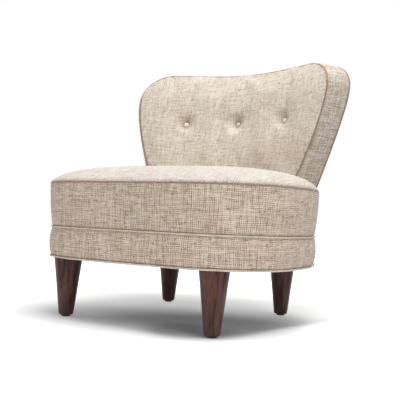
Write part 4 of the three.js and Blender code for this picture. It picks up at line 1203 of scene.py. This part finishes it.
def upright_cylinder(name, vertices, radius, x, y, bottom_z, top_z):
    clear_selection()
    bpy.ops.mesh.primitive_cylinder_add(
        vertices=vertices, radius=radius, depth=top_z - bottom_z,
        location=(x, y, (top_z + bottom_z) / 2),
    )
    piece = bpy.context.object
    piece.name = name
    bpy.ops.object.transform_apply(location=True, rotation=True, scale=True)
    return piece


def round_end(piece, side, radius, segments):
    """Rounds the rim of a cylinder's top, side 1, or of its foot, side -1."""
    select_faces(piece, lambda face: face.normal.z * side > 0.9)
    bpy.ops.mesh.bevel(offset=radius, segments=segments, profile=0.5)
    leave_edit()


def build_legs():
    foot_z = GLIDE_HEIGHT + GLIDE_GAP
    for place in LEG_PLACES:
        x, y = leg_middle(place)
        leg = upright_cylinder(f"turned_leg_{place}", 72, LEG_TOP_RADIUS, x, y, foot_z, LEG_TOP_Z)
        select_faces(leg, lambda face: face.normal.z < -0.9)
        shrink = LEG_BOTTOM_RADIUS / LEG_TOP_RADIUS
        bpy.ops.transform.resize(value=(shrink, shrink, 1), center_override=(x, y, foot_z))
        leave_edit()
        round_end(leg, -1, LEG_TOE_RADIUS, 6)
        round_end(leg, 1, 1.2 * MM, 3)
        bpy.ops.object.shade_smooth_by_angle(angle=SMOOTH_ANGLE)
        dress(leg, leg_wood)
        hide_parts(f"leg_{place}")
        build_glide(place, x, y)


def build_glide(place, x, y):
    glide = upright_cylinder(f"nail_glide_{place}", 48, GLIDE_RADIUS, x, y, 0, GLIDE_HEIGHT)
    round_end(glide, -1, 1.4 * MM, 4)
    bpy.ops.object.shade_smooth_by_angle(angle=SMOOTH_ANGLE)
    dress(glide, nylon)
    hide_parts(f"glide_{place}")


# Light, floor and camera


def seen_directly(tree):
    """1 for the camera's and mirror rays, and 0 for the rays that light things."""
    path = add_node(tree, "ShaderNodeLightPath").outputs
    return calculate(tree, "MAXIMUM", path["Is Camera Ray"], path["Is Glossy Ray"])


def build_floor():
    """A white floor whose glow, a painted light seen by the camera and in reflections, is weaker
    under the chair, where the shadow lies.
    """
    clear_selection()
    bpy.ops.mesh.primitive_plane_add(size=16, location=(0, 0, 0))
    floor = bpy.context.object
    floor.name = "studio_floor"
    material = bpy.data.materials.new("White floor")
    material.use_nodes = True
    tree = material.node_tree
    tree.nodes.clear()
    seen = seen_directly(tree)
    place = add_node(tree, "ShaderNodeTexCoord").outputs["Object"]

    def distance(location, turn, scale):
        """Distance from a place on the floor, in units of an ellipse's half widths."""
        inputs = {"Vector": place, "Location": location, "Rotation": (0, 0, turn), "Scale": scale}
        moved = add_node(tree, "ShaderNodeMapping", inputs, vector_type="TEXTURE").outputs[0]
        return add_node(tree, "ShaderNodeVectorMath", {0: moved}, operation="LENGTH").outputs["Value"]

    def step(far, start, end, low, high):
        inputs = {"Value": far, "From Min": start, "From Max": end, "To Min": low, "To Max": high}
        settings = {"interpolation_type": "SMOOTHSTEP"}
        return add_node(tree, "ShaderNodeMapRange", inputs, **settings).outputs[0]

    # Painted shadow over the real one: the glow is held back in an ellipse under the chair, round a
    # front leg, and left of a straight edge on the right.
    chair = distance((0.122, -0.13, 0), math.radians(22), (0.431, 0.21, 1))
    front_leg = distance((0.152, -0.269, 0), 0, (1, 1, 1))
    across = add_node(tree, "ShaderNodeSeparateXYZ", {"Vector": place}).outputs
    right_side = calculate(tree, "MULTIPLY_ADD", across["Y"], -0.167, across["X"])
    near = step(chair, 0.297, 1.81, 0.058, 0.456)
    painted_floor_light = calculate(tree, "ADD", near, step(chair, 2.6, 4.4, 0.0, 0.55))
    painted_floor_light = calculate(tree, "MULTIPLY", painted_floor_light, step(front_leg, 0.07, 0.16, 0.0, 1.0))
    painted_floor_light = calculate(tree, "MAXIMUM", painted_floor_light, step(right_side, 0.29, 0.362, 0.0, 0.465))
    glow = calculate(tree, "MULTIPLY", seen, painted_floor_light)
    diffuse = add_node(tree, "ShaderNodeBsdfDiffuse", {"Color": (0.88, 0.88, 0.88, 1)}).outputs[0]
    lit = add_node(tree, "ShaderNodeEmission", {"Color": (1, 1, 1, 1), "Strength": glow}).outputs[0]
    both = add_node(tree, "ShaderNodeAddShader", {0: diffuse, 1: lit}).outputs[0]
    add_node(tree, "ShaderNodeOutputMaterial", {"Surface": both})
    floor.data.materials.append(material)


def build_world():
    """White where it is seen, and dim as a light."""
    world = bpy.data.worlds.new("Studio")
    bpy.context.scene.world = world
    world.use_nodes = True
    tree = world.node_tree
    tree.nodes.clear()
    seen = seen_directly(tree)

    def background(strength):
        inputs = {"Color": (1, 1, 1, 1), "Strength": strength}
        return add_node(tree, "ShaderNodeBackground", inputs).outputs[0]

    inputs = {0: seen, 1: background(0.13), 2: background(1.0)}
    both = add_node(tree, "ShaderNodeMixShader", inputs).outputs[0]
    add_node(tree, "ShaderNodeOutputWorld", {"Surface": both})


def build_lights():
    lamps = (
        ("Top light", (0.1, -0.2, 2.6), 1.3, 28.0),
        ("Top right light", (0.75, -0.6, 2.5), 1.3, 15.0),
        ("Right light", (1.1, 0.0, 2.2), 1.3, 7.6),
        ("Back light", (0.1, 0.5, 2.6), 1.3, 7.1),
        ("Right fill", (1.9, -1.2, 1.1), 1.3, 9.0),
        ("Rear fill", (-0.5, 2.8, 1.5), 1.6, 8.0),
        ("Front fill", (0.3, -2.9, 1.2), 1.6, 9.9),
        ("Left fill", (-1.9, -1.0, 1.3), 1.3, 6.6),
    )
    for name, place, size, energy in lamps:
        clear_selection()
        bpy.ops.object.light_add(type="AREA", location=place)
        lamp = bpy.context.object
        lamp.name = name
        lamp.data.size = size
        lamp.data.energy = energy
        aim = Vector((0, 0, LIGHT_AIM_Z)) - Vector(place)
        lamp.rotation_euler = aim.to_track_quat("-Z", "Y").to_euler()


def build_camera():
    """A low camera, in front and to the right, that looks up a little at the chair."""
    level = math.cos(CAMERA_PITCH)
    forward = Vector(
        (-math.sin(CAMERA_YAW) * level, math.cos(CAMERA_YAW) * level, math.sin(CAMERA_PITCH))
    )
    right = Vector((math.cos(CAMERA_YAW), math.sin(CAMERA_YAW), 0))
    up = right.cross(forward)
    right_rolled = right * math.cos(CAMERA_ROLL) + up * math.sin(CAMERA_ROLL)
    up_rolled = up * math.cos(CAMERA_ROLL) - right * math.sin(CAMERA_ROLL)
    clear_selection()
    bpy.ops.object.camera_add()
    camera = bpy.context.object
    axes = Matrix((right_rolled, up_rolled, -forward)).transposed()
    x, y, z = CAMERA_PLACE
    camera.matrix_world = Matrix.Translation(Vector((x, y + front_y, z))) @ axes.to_4x4()
    camera.data.sensor_width = SENSOR_WIDTH
    camera.data.lens = SENSOR_WIDTH * FOCAL_PIXELS / FRAME_PIXELS
    bpy.context.scene.camera = camera


build_camera()
dress_frame_nodes()
build_seat_top()
build_seat_bands()
build_seat_piping()
build_dust_cover()
build_inside_back()
build_outside_back()
build_back_boxing()
build_back_piping()
build_buttons()
build_legs()
build_floor()
build_world()
build_lights()
bpy.context.scene.view_settings.view_transform = "Standard"
